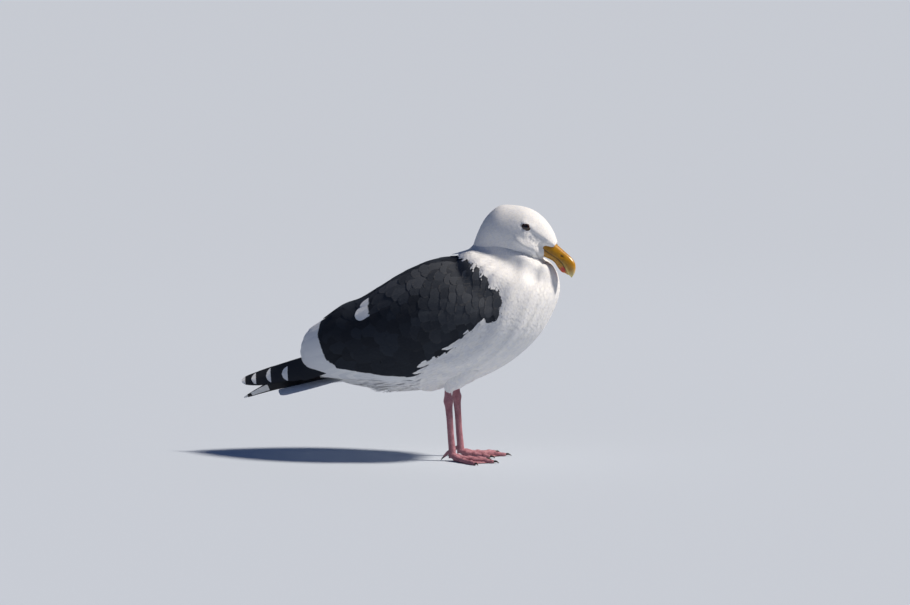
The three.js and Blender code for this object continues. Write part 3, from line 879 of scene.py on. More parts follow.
def hind_toe(side):
    """The small hind toe, which slopes down behind the foot so that its claw reaches the floor."""
    rows = np.array([
        [2, 0, 13, 2.6, 2.6],
        [-2, -side * 0.8, 11.8, 2.5, 2.5],
        [-5, -side * 1.5, 9.8, 2.2, 2.2],
        [-9.9, -side * 3, 5.0, 1.5, 1.5],
    ], float)
    u = np.linspace(0, 3, 30)[:, None]
    return closed_tube(limb(rows, 1, u, ring_angles(16)[None, :]) + leg_line(side))


def eye_frame(side):
    """The eye's centre, and its axis, its long way towards the bill and down, and its short way."""
    centre = turned(EYE * [1, side, 1], 1.0)
    pivot = np.array([HEAD_PIVOT_X, 0, 0])
    axis = unit(turned(pivot + [0.20, side * 0.96, 0.18], 1.0) - pivot)
    ahead = unit(turned(pivot + [1.0, 0, 0], 1.0) - pivot)
    ahead = unit(ahead - axis * (ahead @ axis))
    up = np.cross(axis, ahead)
    up = up * np.sign(up[2])
    tilt = 30 * DEG
    long_way = ahead * math.cos(tilt) - up * math.sin(tilt)
    short_way = up * math.cos(tilt) + ahead * math.sin(tilt)
    return centre, axis, long_way, short_way


def lid_ring(side, half, depth, radius, count=48):
    """A closed ring of round section along an oval on the eyeball."""
    centre, axis, long_way, short_way = eye_frame(side)
    a = ring_angles(count)[:, None, None]
    b = ring_angles(12)[None, :, None]
    flat = long_way * np.cos(a) * half[0] + short_way * np.sin(a) * half[1]
    out = unit(flat)
    points = centre + axis * depth + flat + radius * (out * np.cos(b) + axis * np.sin(b))
    r, s = np.meshgrid(np.arange(count), np.arange(12), indexing="ij")
    p, q = r * 12 + s, r * 12 + (s + 1) % 12
    p2, q2 = (r + 1) % count * 12 + s, (r + 1) % count * 12 + (s + 1) % 12
    faces = np.concatenate([np.stack(corners, -1).reshape(-1, 3) for corners in ((p, q, q2), (p, q2, p2))])
    points = points.reshape(-1, 3)
    x, y, z = (points[faces[:, k]] - centre for k in range(3))
    if np.einsum("ij,ij->i", x, np.cross(y, z)).sum() < 0:
        faces = faces[:, ::-1]
    return points, faces


def lid_opening(side):
    """An oval plug along the eye's axis that opens the lids down to the eyeball's bed."""
    centre, axis, long_way, short_way = eye_frame(side)
    share = np.linspace(0, 1, 12)[:, None]
    a = ring_angles(40)[None, :]
    half = LID_HALF[0] * (1 + 0.25 * share), LID_HALF[1] * (1 + 0.25 * share)
    depth = 1.0 + 10 * share
    rings = (
        centre
        + axis * depth[..., None]
        + long_way * (np.cos(a) * half[0])[..., None]
        + short_way * (np.sin(a) * half[1])[..., None]
    )
    return closed_tube(rings)


def whole_skin():
    """The bird's one skin: the soft body joined with legs, feet and eyelids, with the eyes' beds cut
    out."""
    skin = soft_skin()
    for side in SIDES.values():
        centre = eye_frame(side)[0]
        bed_u = np.linspace(0.02, math.pi - 0.02, 24)[:, None]
        bed_v = ring_angles(32)[None, :]
        radius = EYE_RADIUS + 0.05
        x = radius * np.cos(bed_u) + 0 * bed_v
        y = radius * np.sin(bed_u) * np.cos(bed_v)
        z = radius * np.sin(bed_u) * np.sin(bed_v)
        bed = closed_tube(np.stack([x, y, z], -1) + centre)
        tools = [("lid_fill", "UNION", eyelid_mound(side)), ("opening", "DIFFERENCE", lid_opening(side))]
        tools += [("lid", "UNION", lid_ring(side, LID_HALF + 0.2, 5.35, 0.5)), ("bed", "DIFFERENCE", bed)]
        tools += [("leg", "UNION", shank(side)), ("hind", "UNION", hind_toe(side))]
        tools += [("toe", "UNION", toe(name, side)) for name in TOE_LENGTH]
        tools += [("web", "UNION", web(a, b, side)) for a, b in (("inner", "middle"), ("middle", "outer"))]
        for name, operation, (points, faces) in tools:
            combined(skin, make_piece(name, points, faces, [], None), operation)
    return skin


def eyelid_mound(side):
    """A low mound round the eye that the lids are cut from, so that the eye lies no deeper than in
    life."""
    centre, axis, long_way, short_way = eye_frame(side)
    share = np.linspace(0.02, math.pi / 2, 14)[:, None]
    a = ring_angles(36)[None, :]
    out, rise = np.sin(share) * 9.5, np.cos(share) * 5.6
    flat = long_way * np.cos(a)[..., None] + short_way * np.sin(a)[..., None]
    return closed_tube(centre + axis * rise[..., None] + flat * out[..., None])


skin = whole_skin()
FLESH = ["head", "neck", "trunk", "mantle"]
for side_name in SIDES:
    FLESH += [f"{part}_{side_name}" for part in ("wing", "thigh", "shank", "foot", "hind_toe")]
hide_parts(*FLESH)


def slate_side(points):
    """How far points lie behind the slate's front edge, in millimetres, seen from the side."""
    edge = spline(SLATE_FRONT, np.linspace(0, len(SLATE_FRONT) - 1, 160))
    x, z = points[..., 0], points[..., 2]
    reach = np.interp(z, edge[::-1, 1], edge[::-1, 0])
    return reach - x


def dress_skin(made):
    """Marks the skin's slate, and gives its legs, feet and lids their own materials."""
    points = vertices_of(made)
    ratio, turn, _ = against_wing(points)
    lower = smooth(118, 124, points[:, 2])
    on_wing = smooth(0.72, 0.8, ratio) * smooth(132 * DEG, 126 * DEG, turn)
    slate = smooth(5, 9, slate_side(points)) * on_wing * lower * smooth(-172, -166, points[:, 0])
    set_values(made, "slate", slate)
    mesh = made.data
    count = len(mesh.polygons)
    middle = np.empty(count * 3, np.float32)
    mesh.polygons.foreach_get("center", middle)
    middle = middle.reshape(-1, 3) / MM - ORIGIN
    index = np.zeros(count, np.int32)
    index[middle[:, 2] < BARE_BELOW] = 1
    by_leg = np.hypot(middle[:, 0] + 3, np.abs(middle[:, 1]) - LEG_Y) < 9
    index[by_leg & (middle[:, 2] < BARE_LEG_BELOW)] = 1
    for side in SIDES.values():
        centre, axis, long_way, short_way = eye_frame(side)
        p = middle - centre
        away = np.hypot(p @ long_way / (LID_HALF[0] + 0.9), p @ short_way / (LID_HALF[1] + 0.9))
        index[(away < 1) & (p @ axis > 0)] = 2
    mesh.polygons.foreach_set("material_index", index)
    mesh.polygons.foreach_set("use_smooth", np.ones(count, bool))
    mesh.update()


dress_skin(skin)


# ---- Bill, eyes and claws ----


def mandible(upper):
    """Half of the bill between the mouth line and the culmen or the lower edge: an arch over a slightly
    hollow floor."""
    end = len(BILL) - 1 if upper else LOWER_BILL_END
    u = np.linspace(0, end, 90)[:, None]
    sides = 56
    a = ring_angles(sides)[None, :]
    r = spline(BILL, u)
    top = r[..., 0:2] if upper else r[..., 4:6]
    mouth = r[..., 2:4]
    way = top - mouth
    height = np.maximum(np.linalg.norm(way, axis=-1), 0.9)
    way = way / np.linalg.norm(way, axis=-1)[..., None]
    shrink = 1.0 if upper else 0.94 * np.minimum(1, 0.35 + 0.9 * (end - u))
    sin, cos = np.sin(a), np.cos(a)
    arch = height * np.abs(sin) ** (0.92 if upper else 0.8)
    floor = -0.35 * np.abs(sin) if upper else 0.5 * np.abs(sin)
    rise = np.where(sin > 0, arch, floor)
    half = r[..., 6] * shrink
    out = half * signed_power(cos, 0.9)
    # The cutting edge stands a little proud, and the culmen is a soft ridge.
    out = out * (1 + 0.05 * np.exp(-(rise / 1.1) ** 2)) if upper else out
    ahead = u - NOSTRIL_ROW
    up = np.abs(rise / height) - 0.52 - 0.05 * ahead
    nostril = np.exp(-((ahead / 0.30) ** 2) - (up / 0.07) ** 2)
    nostril = nostril * (sin > 0) if upper else 0 * nostril
    pinch = 1 - 0.16 * nostril
    x = mouth[..., 0] + way[..., 0] * rise
    z = mouth[..., 1] + way[..., 1] * rise
    rings = turned(np.stack(np.broadcast_arrays(x, out * pinch, z), -1), 1.0)
    points, faces = closed_tube(rings)
    name = "bill_upper" if upper else "bill_lower"
    made = make_piece(f"{name}_horn", points, faces, [HORN], "bill")
    pad = np.zeros(2)
    level = np.abs(rise / height) + 0 * a
    set_values(made, "along", np.concatenate([(u / (len(BILL) - 1) + 0 * a).ravel(), [0, 1]]))
    set_values(made, "level", np.concatenate([level.ravel(), pad]))
    set_values(made, "lower", np.full(len(points), 0.0 if upper else 1.0))
    set_values(made, "nostril", np.concatenate([(smooth(0.35, 0.7, nostril) + 0 * a).ravel(), pad]))
    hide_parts(name)
    return made


def eyeball(name, side):
    """An eyeball with a clear bulge in front: a sphere whose radius grows near its axis, towards which
    it looks."""
    centre, axis, long_way, short_way = eye_frame(side)
    u = np.linspace(0.03, math.pi - 0.05, 40)[:, None]
    a = ring_angles(48)[None, :]
    radius = EYE_RADIUS - 0.12 + 0.45 * np.exp(-((u / 0.55) ** 2))
    flat = long_way * np.cos(a)[..., None] + short_way * np.sin(a)[..., None]
    rings = centre + (radius * np.cos(u))[..., None] * axis + (radius * np.sin(u))[..., None] * flat
    points, faces = closed_tube(rings)
    made = make_piece(f"eye_{name}_ball", points, faces, [WET], "eye")
    set_values(made, "ring", np.concatenate([(u + 0 * a).ravel(), [0, math.pi]]))
    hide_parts(f"eye_{name}")


def claw(name, side_name, rows):
    """A claw: a tapering tube along a bent line, ending in a dull point."""
    u = np.linspace(0, len(rows) - 1, 20)[:, None]
    points, faces = closed_tube(limb(np.array(rows, float), 1, u, ring_angles(14)[None, :]))
    made = make_piece(f"claw_{side_name}_{name}_horn", points, faces, [CLAW], "claw")
    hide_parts(f"claw_{side_name}_{name}")


def claws(side_name, side):
    """The four claws of one foot, each from the end of its toe down to the floor."""
    for name in TOE_LENGTH:
        start = on_toe(name, 1.0, side)
        out = unit(start - [2, 0, 0])
        sizes = [(-0.05, 2.3, 1.5), (0.35, 2.9, 1.35), (0.7, 2.2, 0.9), (0.93, 1.0, 0.45), (1.0, 0.5, 0.15)]
        rows = []
        for share, z, half in sizes:
            x, y, _ = start + out * share * CLAW_LENGTH + leg_line(side)
            rows.append([x, y, z, half, half * 0.8])
        claw(name, side_name, rows)
    y = side * LEG_Y
    rows = [
        [-9.3, y - side * 2.9, 5.3, 1.2, 1.1],
        [-11.6, y - side * 3.4, 3.4, 0.95, 0.85],
        [-13.3, y - side * 3.8, 1.3, 0.55, 0.5],
        [-13.9, y - side * 3.9, 0.25, 0.15, 0.15],
    ]
    claw("hind", side_name, rows)


mandible(True)
mandible(False)
for side_name, side in SIDES.items():
    eyeball(side_name, side)
    claws(side_name, side)


# ---- Plumage ----


def leaf(stations, across):
    """A closed leaf-shaped vane: how far along each point is, how far across, whether it is inside the
    underside, and its outward triangles. The top is a grid that closes to one point at the tip, and a
    flat underside joins the rims."""
    stations = np.asarray(stations, float)
    rows, columns = len(stations) - 1, across + 1
    i, j = np.meshgrid(np.arange(rows), np.arange(columns), indexing="ij")
    along = np.append(stations[i.ravel()], stations[-1])
    side = np.append(-1 + 2 * j.ravel() / across, 0.0)
    tip = rows * columns
    i, j = (x.ravel() for x in np.meshgrid(np.arange(rows - 1), np.arange(across), indexing="ij"))
    p = i * columns + j
    top = np.concatenate([
        np.stack([p, p + columns, p + columns + 1], 1),
        np.stack([p, p + columns + 1, p + 1], 1),
    ])
    last = (rows - 1) * columns + np.arange(across)
    fan = np.stack([last, np.full(across, tip), last + 1], 1)
    left = np.arange(rows - 1) * columns
    right = left + across
    under = np.concatenate([
        np.stack([right, right + columns, left + columns], 1),
        np.stack([right, left + columns, left], 1),
    ])
    end = np.array([[(rows - 1) * columns + across, tip, (rows - 1) * columns]])
    k = np.arange(1, across)
    root = np.stack([0 * k, k, k + 1], 1)
    return along, side, np.zeros(len(along)), np.concatenate([top, fan, under, end, root])


def blade(stations, across):
    """A closed vane as leaf() makes, but with a second grid as its underside, for long feathers that
    curve."""
    along, side, _, faces = leaf(stations, across)
    rows, columns = len(stations) - 1, across + 1
    tip = rows * columns
    inner = tip + 1 + np.arange(rows * (across - 1)).reshape(rows, across - 1)
    edge = np.arange(rows) * columns
    grid = np.concatenate([edge[:, None], inner, edge[:, None] + across], 1)
    a, b, c, d = grid[:-1, :-1].ravel(), grid[1:, :-1].ravel(), grid[1:, 1:].ravel(), grid[:-1, 1:].ravel()
    under = np.concatenate([np.stack([a, c, b], 1), np.stack([a, d, c], 1)])
    fan = np.stack([grid[-1, :-1], grid[-1, 1:], np.full(across, tip)], 1)
    t, u = np.arange(across), grid[0]
    root = np.concatenate([
        np.stack([t, t + 1, u[1:]], 1),
        np.stack([t, u[1:], u[:-1]], 1),
    ])
    root = root[(root[:, 0] != root[:, 1]) & (root[:, 1] != root[:, 2]) & (root[:, 0] != root[:, 2])]
    top = faces[:2 * (rows - 1) * across + across]
    more_along = np.repeat(np.asarray(stations, float)[:rows], across - 1)
    more_side = np.tile(-1 + 2 * np.arange(1, across) / across, rows)
    below = np.concatenate([np.zeros(tip + 1), np.ones(len(more_along))])
    faces = np.concatenate([top, under, fan, root])
    return np.append(along, more_along), np.append(side, more_side), below, faces


# A share of the feather's length past its tip, where no white starts.
NO_WHITE = 2.0

LEAVES = {
    "tiny": leaf([0, 0.45, 0.75, 0.92, 1], 2),
    "small": leaf([0, 0.35, 0.6, 0.78, 0.92, 1], 4),
    "broad": leaf([0, 0.25, 0.5, 0.68, 0.8, 0.9, 0.97, 1], 6),
    "quill": blade(np.append(np.linspace(0, 0.84, 15), [0.89, 0.93, 0.96, 0.985, 1]), 8),
}


def outline(share, full=0.62, root=0.5):
    """Half width of a vane as a share of its widest: narrow at the root, full past the middle, round at
    the tip."""
    rise = root + (1 - root) * smooth(0, full * 0.8, share)
    round_tip = np.sqrt(np.clip(1 - (np.clip(share - full, 0, None) / (1.0001 - full)) ** 2, 0, 1))
    return rise * round_tip


def roots(surface, u_span, a_span, exposed, spacing, rng):
    """Roots in rows across a surface. Each row lies one exposed length up from the last, along every
    line of flow, and its feathers are evenly spaced along it, so that the rows overlap like tiles.
    Returns their places and row numbers."""
    u = np.linspace(*u_span, 420)
    a = np.linspace(*a_span, 721)
    grid = surface(u[:, None], a[None, :])
    step = np.linalg.norm(np.diff(grid, axis=0), axis=-1)
    middle = (u[1:] + u[:-1]) / 2
    reach = np.cumsum(step / exposed(middle[:, None], a[None, :]), axis=0)
    reach = np.concatenate([np.zeros((1, len(a))), reach])
    found = []
    for row in range(int(reach.max())):
        level = row + 0.5
        i = np.clip((reach < level).sum(0), 1, len(u) - 1)
        k = np.arange(len(a))
        low, high = reach[i - 1, k], reach[i, k]
        line = u[i - 1] + (u[1] - u[0]) * np.clip((level - low) / np.maximum(high - low, 1e-9), 0, 1)
        there = reach[-1] >= level
        points = surface(line, a)
        gap = np.linalg.norm(np.diff(points, axis=0), axis=-1)
        gap = gap / spacing((line[1:] + line[:-1]) / 2, (a[1:] + a[:-1]) / 2)
        gap = np.where(there[1:] & there[:-1], gap, 0)
        run = np.concatenate([[0], np.cumsum(gap)]) + np.arange(len(a)) * 1e-9
        marks = np.arange(0.5 * (row % 2) + 0.25, run[-1], 1.0)
        marks = marks + rng.uniform(-0.22, 0.22, len(marks))
        place = np.interp(marks, run, line), np.interp(marks, run, a)
        found.append(np.stack([*place, np.full(len(marks), row)]))
    return np.concatenate(found, 1)


def carried(surface, way, frame_at, u, a, shift, limit=1.2):
    """Points of a surface reached from parameters u, a by small shifts along it, with the normals
    there. A shift in space becomes steps of the two parameters by the tangents at the start."""
    e, f = frame_at
    ee, ef, ff = (np.einsum("...i,...i->...", p, q) for p, q in ((e, e), (e, f), (f, f)))
    de, df = np.einsum("...i,...i->...", shift, e), np.einsum("...i,...i->...", shift, f)
    det = ee * ff - ef * ef
    place_u = u + (de * ff - df * ef) / det
    place_a = a + np.clip((df * ee - de * ef) / det, -limit, limit)
    return surface(place_u, place_a), frames(surface, way, place_u, place_a)[2]


def tract(name, surface, way, flow, found, sizes, shape, material, slot, rng, marks=None, soft=0.9,
          form=(0.62, 0.5), settle=None):
    """One tract of feathers as a single mesh: each leaf is carried from its root along the surface, and
    stands off it. Its steps are scaled until it is as long in space as it should be, where the
    surface's own steps change along it. sizes gives each feather's length, width, depth of its root,
    lift of its tip, camber and turn."""
    u, a = found[0], found[1]
    length, width, depth, lift, camber, turn = (np.broadcast_to(x, u.shape).astype(float) for x in sizes)
    count = len(u)
    length = (length * rng.uniform(0.88, 1.12, count))[:, None]
    width = (width * rng.uniform(0.9, 1.1, count))[:, None]
    turn = (turn + rng.normal(0, 0.06, count))[:, None]
    roll = rng.uniform(-0.03, 0.03, count)[:, None]
    high = (rng.uniform(-0.03, 0.03, count) * depth)[:, None]
    along, side = LEAVES[shape][:2]
    across = side * outline(along, *form)
    e, f, n = frames(surface, way, u, a)
    t = unit(e) * flow
    c = np.cross(n, t)
    t, c = t * np.cos(turn) + c * np.sin(turn), c * np.cos(turn) - t * np.sin(turn)
    fray = np.where(along > 0.7, 1.0, 0.0) * rng.uniform(-0.02, 0.02, (count, len(along)))
    run = length * (along + fray)
    out = across * width / 2
    start = surface(u, a)
    scale = np.ones((count, 1))
    for _ in range(3):
        end = carried(surface, way, (e, f), u, a, length * scale * t)[0]
        scale = np.clip(scale * length / np.linalg.norm(end - start, axis=-1, keepdims=True), 0.15, 1.6)
    shift = (scale * run)[..., None] * t[:, None] + out[..., None] * c[:, None]
    points, normal = carried(surface, way, (e[:, None], f[:, None]), u[:, None], a[:, None], shift)
    sunk = depth[:, None] * (1 - along) ** 3
    stand = high + lift[:, None] * along ** 4 - sunk - camber[:, None] * width * across ** 2
    stand = stand + roll * width * across / 2
    if settle is not None:
        stand = stand + settle(points)
    points = points + normal * stand[..., None]
    if slot == "slate_plumage":
        marks = {**marks, "pale": beyond_slate(points)}
    spread = [(x - x.min()) / max(np.ptp(x), 1e-9) * 0.97 + 0.01 for x in (a, u)]
    patch = 0.003
    bake = np.stack([
        spread[0][:, None] + patch * (side * (0.3 + 0.7 * outline(along)) + 1) / 2,
        spread[1][:, None] + patch * along,
    ], -1)
    values = {"tone": rng.uniform(0, 1, count)}
    values.update(marks or {})
    return dressed(name, points, normal, run, out, shape, material, slot, bake, values, soft)


def dressed(name, points, normal, run, out, shape, material, slot, bake, values, soft):
    """The mesh of many vanes of one shape, from arrays of feather by point, with its maps, marks and
    soft shading."""
    along, side, _, faces = LEAVES[shape]
    every = points.shape[:2]
    all_faces = (faces[None] + (np.arange(every[0]) * every[1])[:, None, None]).reshape(-1, 3)
    made = make_piece(name, points.reshape(-1, 3), all_faces, [material], slot)
    set_map(made, "Vane", np.stack(np.broadcast_arrays(run, out), -1).reshape(-1, 2) / 10)
    set_map(made, "OFBake", bake.reshape(-1, 2))
    marks = {"white_from": NO_WHITE, "wear": 0.0, "share": along, "side": side}
    marks["rim"] = np.maximum(np.abs(side), smooth(0.8, 1.0, along))
    for key, value in values.items():
        marks[key] = np.asarray(value, float).reshape(every[0], -1)
    for key, value in marks.items():
        set_values(made, key, np.broadcast_to(value, every).ravel())
    soften(made, points, shape, normal, soft)
    return made


def soften(made, points, shape, normal, share):
    """Shading normals part of the way from the vanes' own to those of the surface that they lie on. A
    vane's own normals are the sums over its upper faces, so that its thin rim shades as its top does;
    its underside faces the other way."""
    along, side, _, faces = LEAVES[shape]
    across = int(round(2 / (side[1] - side[0])))
    rows = int(np.argmax(along == 1.0)) // (across + 1)
    tops = 2 * (rows - 1) * across + across
    a, b, c = (points[:, faces[:tops, k]] for k in range(3))
    slant = np.cross(b - a, c - a)
    own = np.zeros_like(points)
    for k in range(3):
        np.add.at(own, (slice(None), faces[:tops, k]), slant)
    mixed = unit(unit(own) * (1 - share) + normal * share)
    corners = mixed[:, faces]
    corners[:, tops:] = -normal[:, faces[tops:]]
    made.data.normals_split_custom_set(corners.reshape(-1, 3))


def eye_clear(points, sizes):
    """Where feathers would lie over an eye: within an oval round its axis, grown by their length."""
    hit = np.zeros(len(points), bool)
    for side in SIDES.values():
        centre, axis, long_way, short_way = eye_frame(side)
        p = points - centre
        away = np.hypot(p @ long_way / (LID_HALF[0] + sizes), p @ short_way / (LID_HALF[1] + sizes))
        hit |= (away < 1) & (p @ axis > 0)
    return hit


def inside_head(points, margin):
    """Whether points lie inside the head, by more than the margin."""
    u = np.linspace(0, len(HEAD) - 1, 120)
    top, bottom, left, right = (head(u, k * math.pi / 2) for k in (0, 2, 1, 3))
    row = spline(HEAD, u)
    down = unit(bottom - top)
    across = unit(left - right)
    length = np.linalg.norm(bottom - top, axis=-1)
    widest = row[:, 5] * length
    centre = top + down * widest[:, None]
    normal = np.cross(down, across)
    p = points[:, None, :] - centre
    level = np.einsum("ijk,jk->ij", p, down)
    out = np.abs(np.einsum("ijk,jk->ij", p, across)) / np.maximum(row[:, 4] - margin, 1)
    reach = np.where(level < 0, widest, length - widest) - margin
    within = (np.abs(level) / np.maximum(reach, 1)) ** 2 + out ** 2 < 1
    ahead = np.einsum("ijk,jk->ij", p, normal) > 0
    between = ahead[:, 1:] != ahead[:, :-1]
    return (between & within[:, 1:]).any(1)


def falling(start, fall, low, high):
    """A field over a surface: a length that falls smoothly between two rows, the same at every
    angle."""
    def at(u, a):
        return start - fall * smooth(low, high, u) + 0 * a

    return at


def head_coat():
    """The head: short feathers in fine rows from the bill back, shortest round the bill and eyes."""
    rng = np.random.default_rng(11)
    exposed = falling(2.6, 1.2, 6, 9)
    found = roots(head, (0.15, 9.0), (0, TAU), exposed, falling(2.7, 1.2, 6, 9), rng)
    place = head(found[0], found[1])
    size = exposed(*found[:2])
    tip = head(found[0] - 0.2, found[1])
    straight = turned(place, -1.0)
    gape_line = np.interp(straight[:, 0], [117, 119, 135.5, 140], [287, 284, 278, 276])
    bare = (straight[:, 0] > 117.5) & (straight[:, 2] < gape_line)
    clear = ~eye_clear(place, 1.0) & ~eye_clear(tip, 0.7) & ~bare
    found, size, place = found[:, clear], size[clear], place[clear]
    near = np.zeros(len(place))
    for side in SIDES.values():
        centre = eye_frame(side)[0]
        near = np.maximum(near, smooth(14, 7, np.linalg.norm(place - centre, axis=1)))
    length = size * 2.7 * (1 - 0.35 * near)
    width = size * 1.9 * (1 - 0.25 * near)
    depth = 1.7 - 1.2 * near
    sizes = (length, width, depth, 0.1, 0.07, 0.0)
    return tract("coat_head", head, 1, -1, found, sizes, "tiny", WHITE, "white_plumage", rng, soft=0.8)


# The exposed length of the white feathers, and their spacing.
NECK_FIELDS = falling(4.2, 1.8, 7.5, 12), falling(3.8, 1.5, 7.5, 12)
BELLY_FIELDS = falling(5.8, 1.6, 4, 7.6), falling(5.0, 1.2, 4, 7.6)


def body_tract(name, seed, u_span, fields, lift_fields=None):
    """Part of the white coat of neck, breast, belly and flanks, over the body and the wing's lower
    front edge. Where its feathers end on the slate, they are narrower and longer."""
    rng = np.random.default_rng(seed)
    exposed, spacing = fields
    found = roots(flank, u_span, (0, TAU), exposed, spacing, rng)
    u, a = found[0], found[1]
    place = flank(u, a)
    length = exposed(u, a) * 3.4
    e = frames(flank, 1, u, a)[0]
    tip = place - unit(e) * length[:, None]
    over = slate_side(tip) > rng.uniform(3.0, 9.0, len(u))
    hidden = over & ((against_wing(tip)[1] < 133 * DEG) | (np.cos(a) > 0.0))
    hidden |= inside_head(tip, 0.5)
    found, length, place = found[:, ~hidden], length[~hidden], place[~hidden]
    u, a = found[0], found[1]
    edge = smooth(-6, 2, slate_side(place - unit(frames(flank, 1, u, a)[0]) * length[:, None]))
    width = spacing(u, a) * 1.9 * (1 - 0.5 * edge)
    length = length * (1 + 0.2 * edge)
    depth = np.minimum(0.2 * length, 4.4)
    lift = 0.15 + 0 * u
    if lift_fields is not None:
        extra, longer = lift_fields(a, place)
        lift = lift + extra
        length = length * longer
    sizes = (length, width, depth, lift, 0.02, 0.0)
    shaping = {"soft": 0.94, "form": (0.45, 0.6), "settle": over_slate}
    return tract(name, flank, 1, -1, found, sizes, "small", WHITE, "white_plumage", rng, **shaping)


def over_slate(points):
    """How much higher white feathers lie where they overlap the slate."""
    return 0.4 * smooth(-5, 3, slate_side(points))


def under_white(points):
    """How much the slate feathers dip under the white ones, and the shallow dip between the two
    shoulders."""
    x, y = points[..., 0], points[..., 1]
    dip = -2.8 * smooth(2, -7, slate_side(points))
    length = smooth(-125, -60, x) * smooth(20, -5, x)
    saddle = -3.2 * np.exp(-((y / 15) ** 2)) + 1.8 * np.exp(-(((np.abs(y) - 31) / 13) ** 2))
    return dip + saddle * length


def beyond_slate(points):
    """How white a point of the folded wing is: past the rows where the slate ends at each angle from
    the top. It grows evenly over 8 mm, with a half on the line."""
    _, turn, row = against_wing(points)
    limit, before, after = (np.interp(turn / DEG + k, *SLATE_LIMIT) for k in (0, -1, 1))
    rows_per_mm = np.hypot(0.04, 0.75 * (after - before) / 2)
    return np.clip(0.5 + (row - limit) / rows_per_mm / 8, 0, 1)


def vent_lift(a, place):
    """Longer and looser feathers in the tuft at the vent and on the flanks over the wing's edge."""
    under = smooth(0.3, 0.9, -np.cos(a))
    tuft = np.exp(-((place[:, 0] + 66) / 16) ** 2) * under
    return 4.5 * tuft, 1 + 0.4 * tuft + 0.25 * smooth(-110, -150, place[:, 0])


def thigh_coat(name, side):
    """The feathered thigh: small soft feathers that close round the top of the bare leg."""
    rng = np.random.default_rng(31 + side)

    def thigh(u, a):
        return limb(THIGH, side, u, a) + leg_line(side)

    exposed = falling(4.6, 2.2, 1.5, 4)
    found = roots(thigh, (0.8, 3.95), (0, TAU), exposed, falling(4.2, 1.8, 1.5, 4), rng)
    size = exposed(*found[:2])
    sizes = (size * 2.7, size * 1.8, size * 0.45, 0.3, 0.1, 0.0)
    return tract(f"coat_thigh_{name}", thigh, -1, 1, found, sizes, "small", WHITE, "white_plumage", rng)


def slate_exposed(u, a):
    """Exposed length of the slate feathers: small at the shoulder, larger down the back and wing."""
    front = 8.0 + 10.0 * smooth(0.5, 8, u)
    return front + 4.0 * smooth(60 * DEG, 110 * DEG, np.abs(a)) * smooth(2, 6, u)


# Where the slate gives way to white along the wing's rear and lower edges: angles from the top, and
# rows of the wing.
SLATE_LIMIT = [
    [0, 55, 81, 104, 115.6, 121.5, 124.7, 126, 128],
    [10.05, 10.1, 9.8, 9.5, 8.96, 7.76, 6.33, 5.35, 3],
]


def slate_coat():
    """Mantle, scapulars and wing coverts: slate feathers in rows over the folded wings, from the
    shoulder back."""
    rng = np.random.default_rng(41)
    edge = SLATE_LIMIT[0][-1] * DEG
    found = roots(cloak, (0.2, 9.6), (-edge, edge), slate_exposed, falling(10.5, -6.5, 1, 8), rng)
    u, a = found[0], found[1]
    place = cloak(u, a)
    ahead = slate_side(place) > -24
    tip = u + slate_exposed(u, a) * 2.5 / np.linalg.norm(frames(cloak, -1, u, a)[0], axis=-1)
    found = found[:, ahead & (tip < np.interp(np.abs(a) / DEG, *SLATE_LIMIT))]
    u, a = found[0], found[1]
    length = slate_exposed(u, a) * 2.5
    width = falling(10.5, -6.5, 1, 8)(u, a) * 1.75
    depth = 3.4
    turn = -np.sign(a) * 0.10 * smooth(30 * DEG, 100 * DEG, np.abs(a))
    turned_down = np.abs(a) / DEG
    # Lighter worn colour over the upper front of the wings, and a band along the shoulder: partly real wear
    # and partly painted sunlight on the lit upper shoulder.
    wear = smooth(5.0, 1.5, u) * smooth(20, 45, turned_down) * smooth(112, 80, turned_down)
    worn_sunlit_shoulder = smooth(18, 28, turned_down) * smooth(62, 48, turned_down)
    wear = np.maximum(wear, 0.8 * smooth(7.5, 5, u) * worn_sunlit_shoulder)
    wear = np.clip(wear * rng.uniform(0.6, 1.15, len(u)) + 0.08, 0, 1)
    sizes = (length, width, depth, 0.12, 0.02, turn)
    marks = {"wear": wear, "tone": rng.uniform(0, 1, len(u)) ** 1.2}
    shaping = {"marks": marks, "soft": 0.7, "settle": under_white}
    return tract("coat_slate", cloak, -1, 1, found, sizes, "broad", SLATE, "slate_plumage", rng, **shaping)


def atlas(count, shape):
    """A rectangle of the bake map for each of a few large feathers."""
    along, side = LEAVES[shape][:2]
    columns = math.ceil(math.sqrt(count * 2.5))
    rows = math.ceil(count / columns)
    i = np.arange(count)[:, None]
    u = (i % columns + 0.08 + 0.84 * (side + 1) / 2) / columns
    v = (i // columns + 0.05 + 0.9 * along) / rows
    return np.stack([u, v], -1)


def quills(name, surface, way, u, a, heading, out, stand, material, slot, values, length=100.0, limit=1.2):
    """Long stiff feathers along lines of a surface: u and a give each point of a feather's shaft,
    heading the shaft's way in the two parameters, out the distance across it, and stand the height off
    the surface."""
    along, side, below, _ = LEAVES["quill"]
    e, f, n = frames(surface, way, u, a)
    t = unit(e * heading[0][..., None] + f * heading[1][..., None])
    c = np.cross(n, t)
    points, normal = carried(surface, way, (e, f), u, a, out[..., None] * c, limit)
    shaft = 0.35 * np.exp(-((side / 0.09) ** 2)) * (1 - along) * (1 - below)
    thick = np.where(below > 0, -0.45 * (1 - side ** 2), 0.15 * (1 - side ** 2))
    points = points + normal * (stand + shaft + thick)[..., None]
    run = np.broadcast_to(along, u.shape) * length
    if slot == "slate_plumage":
        values = {**values, "pale": beyond_slate(points)}
    bake = atlas(len(u), "quill")
    return dressed(name, points, normal, run, out, "quill", material, slot, bake, values, 0.2)


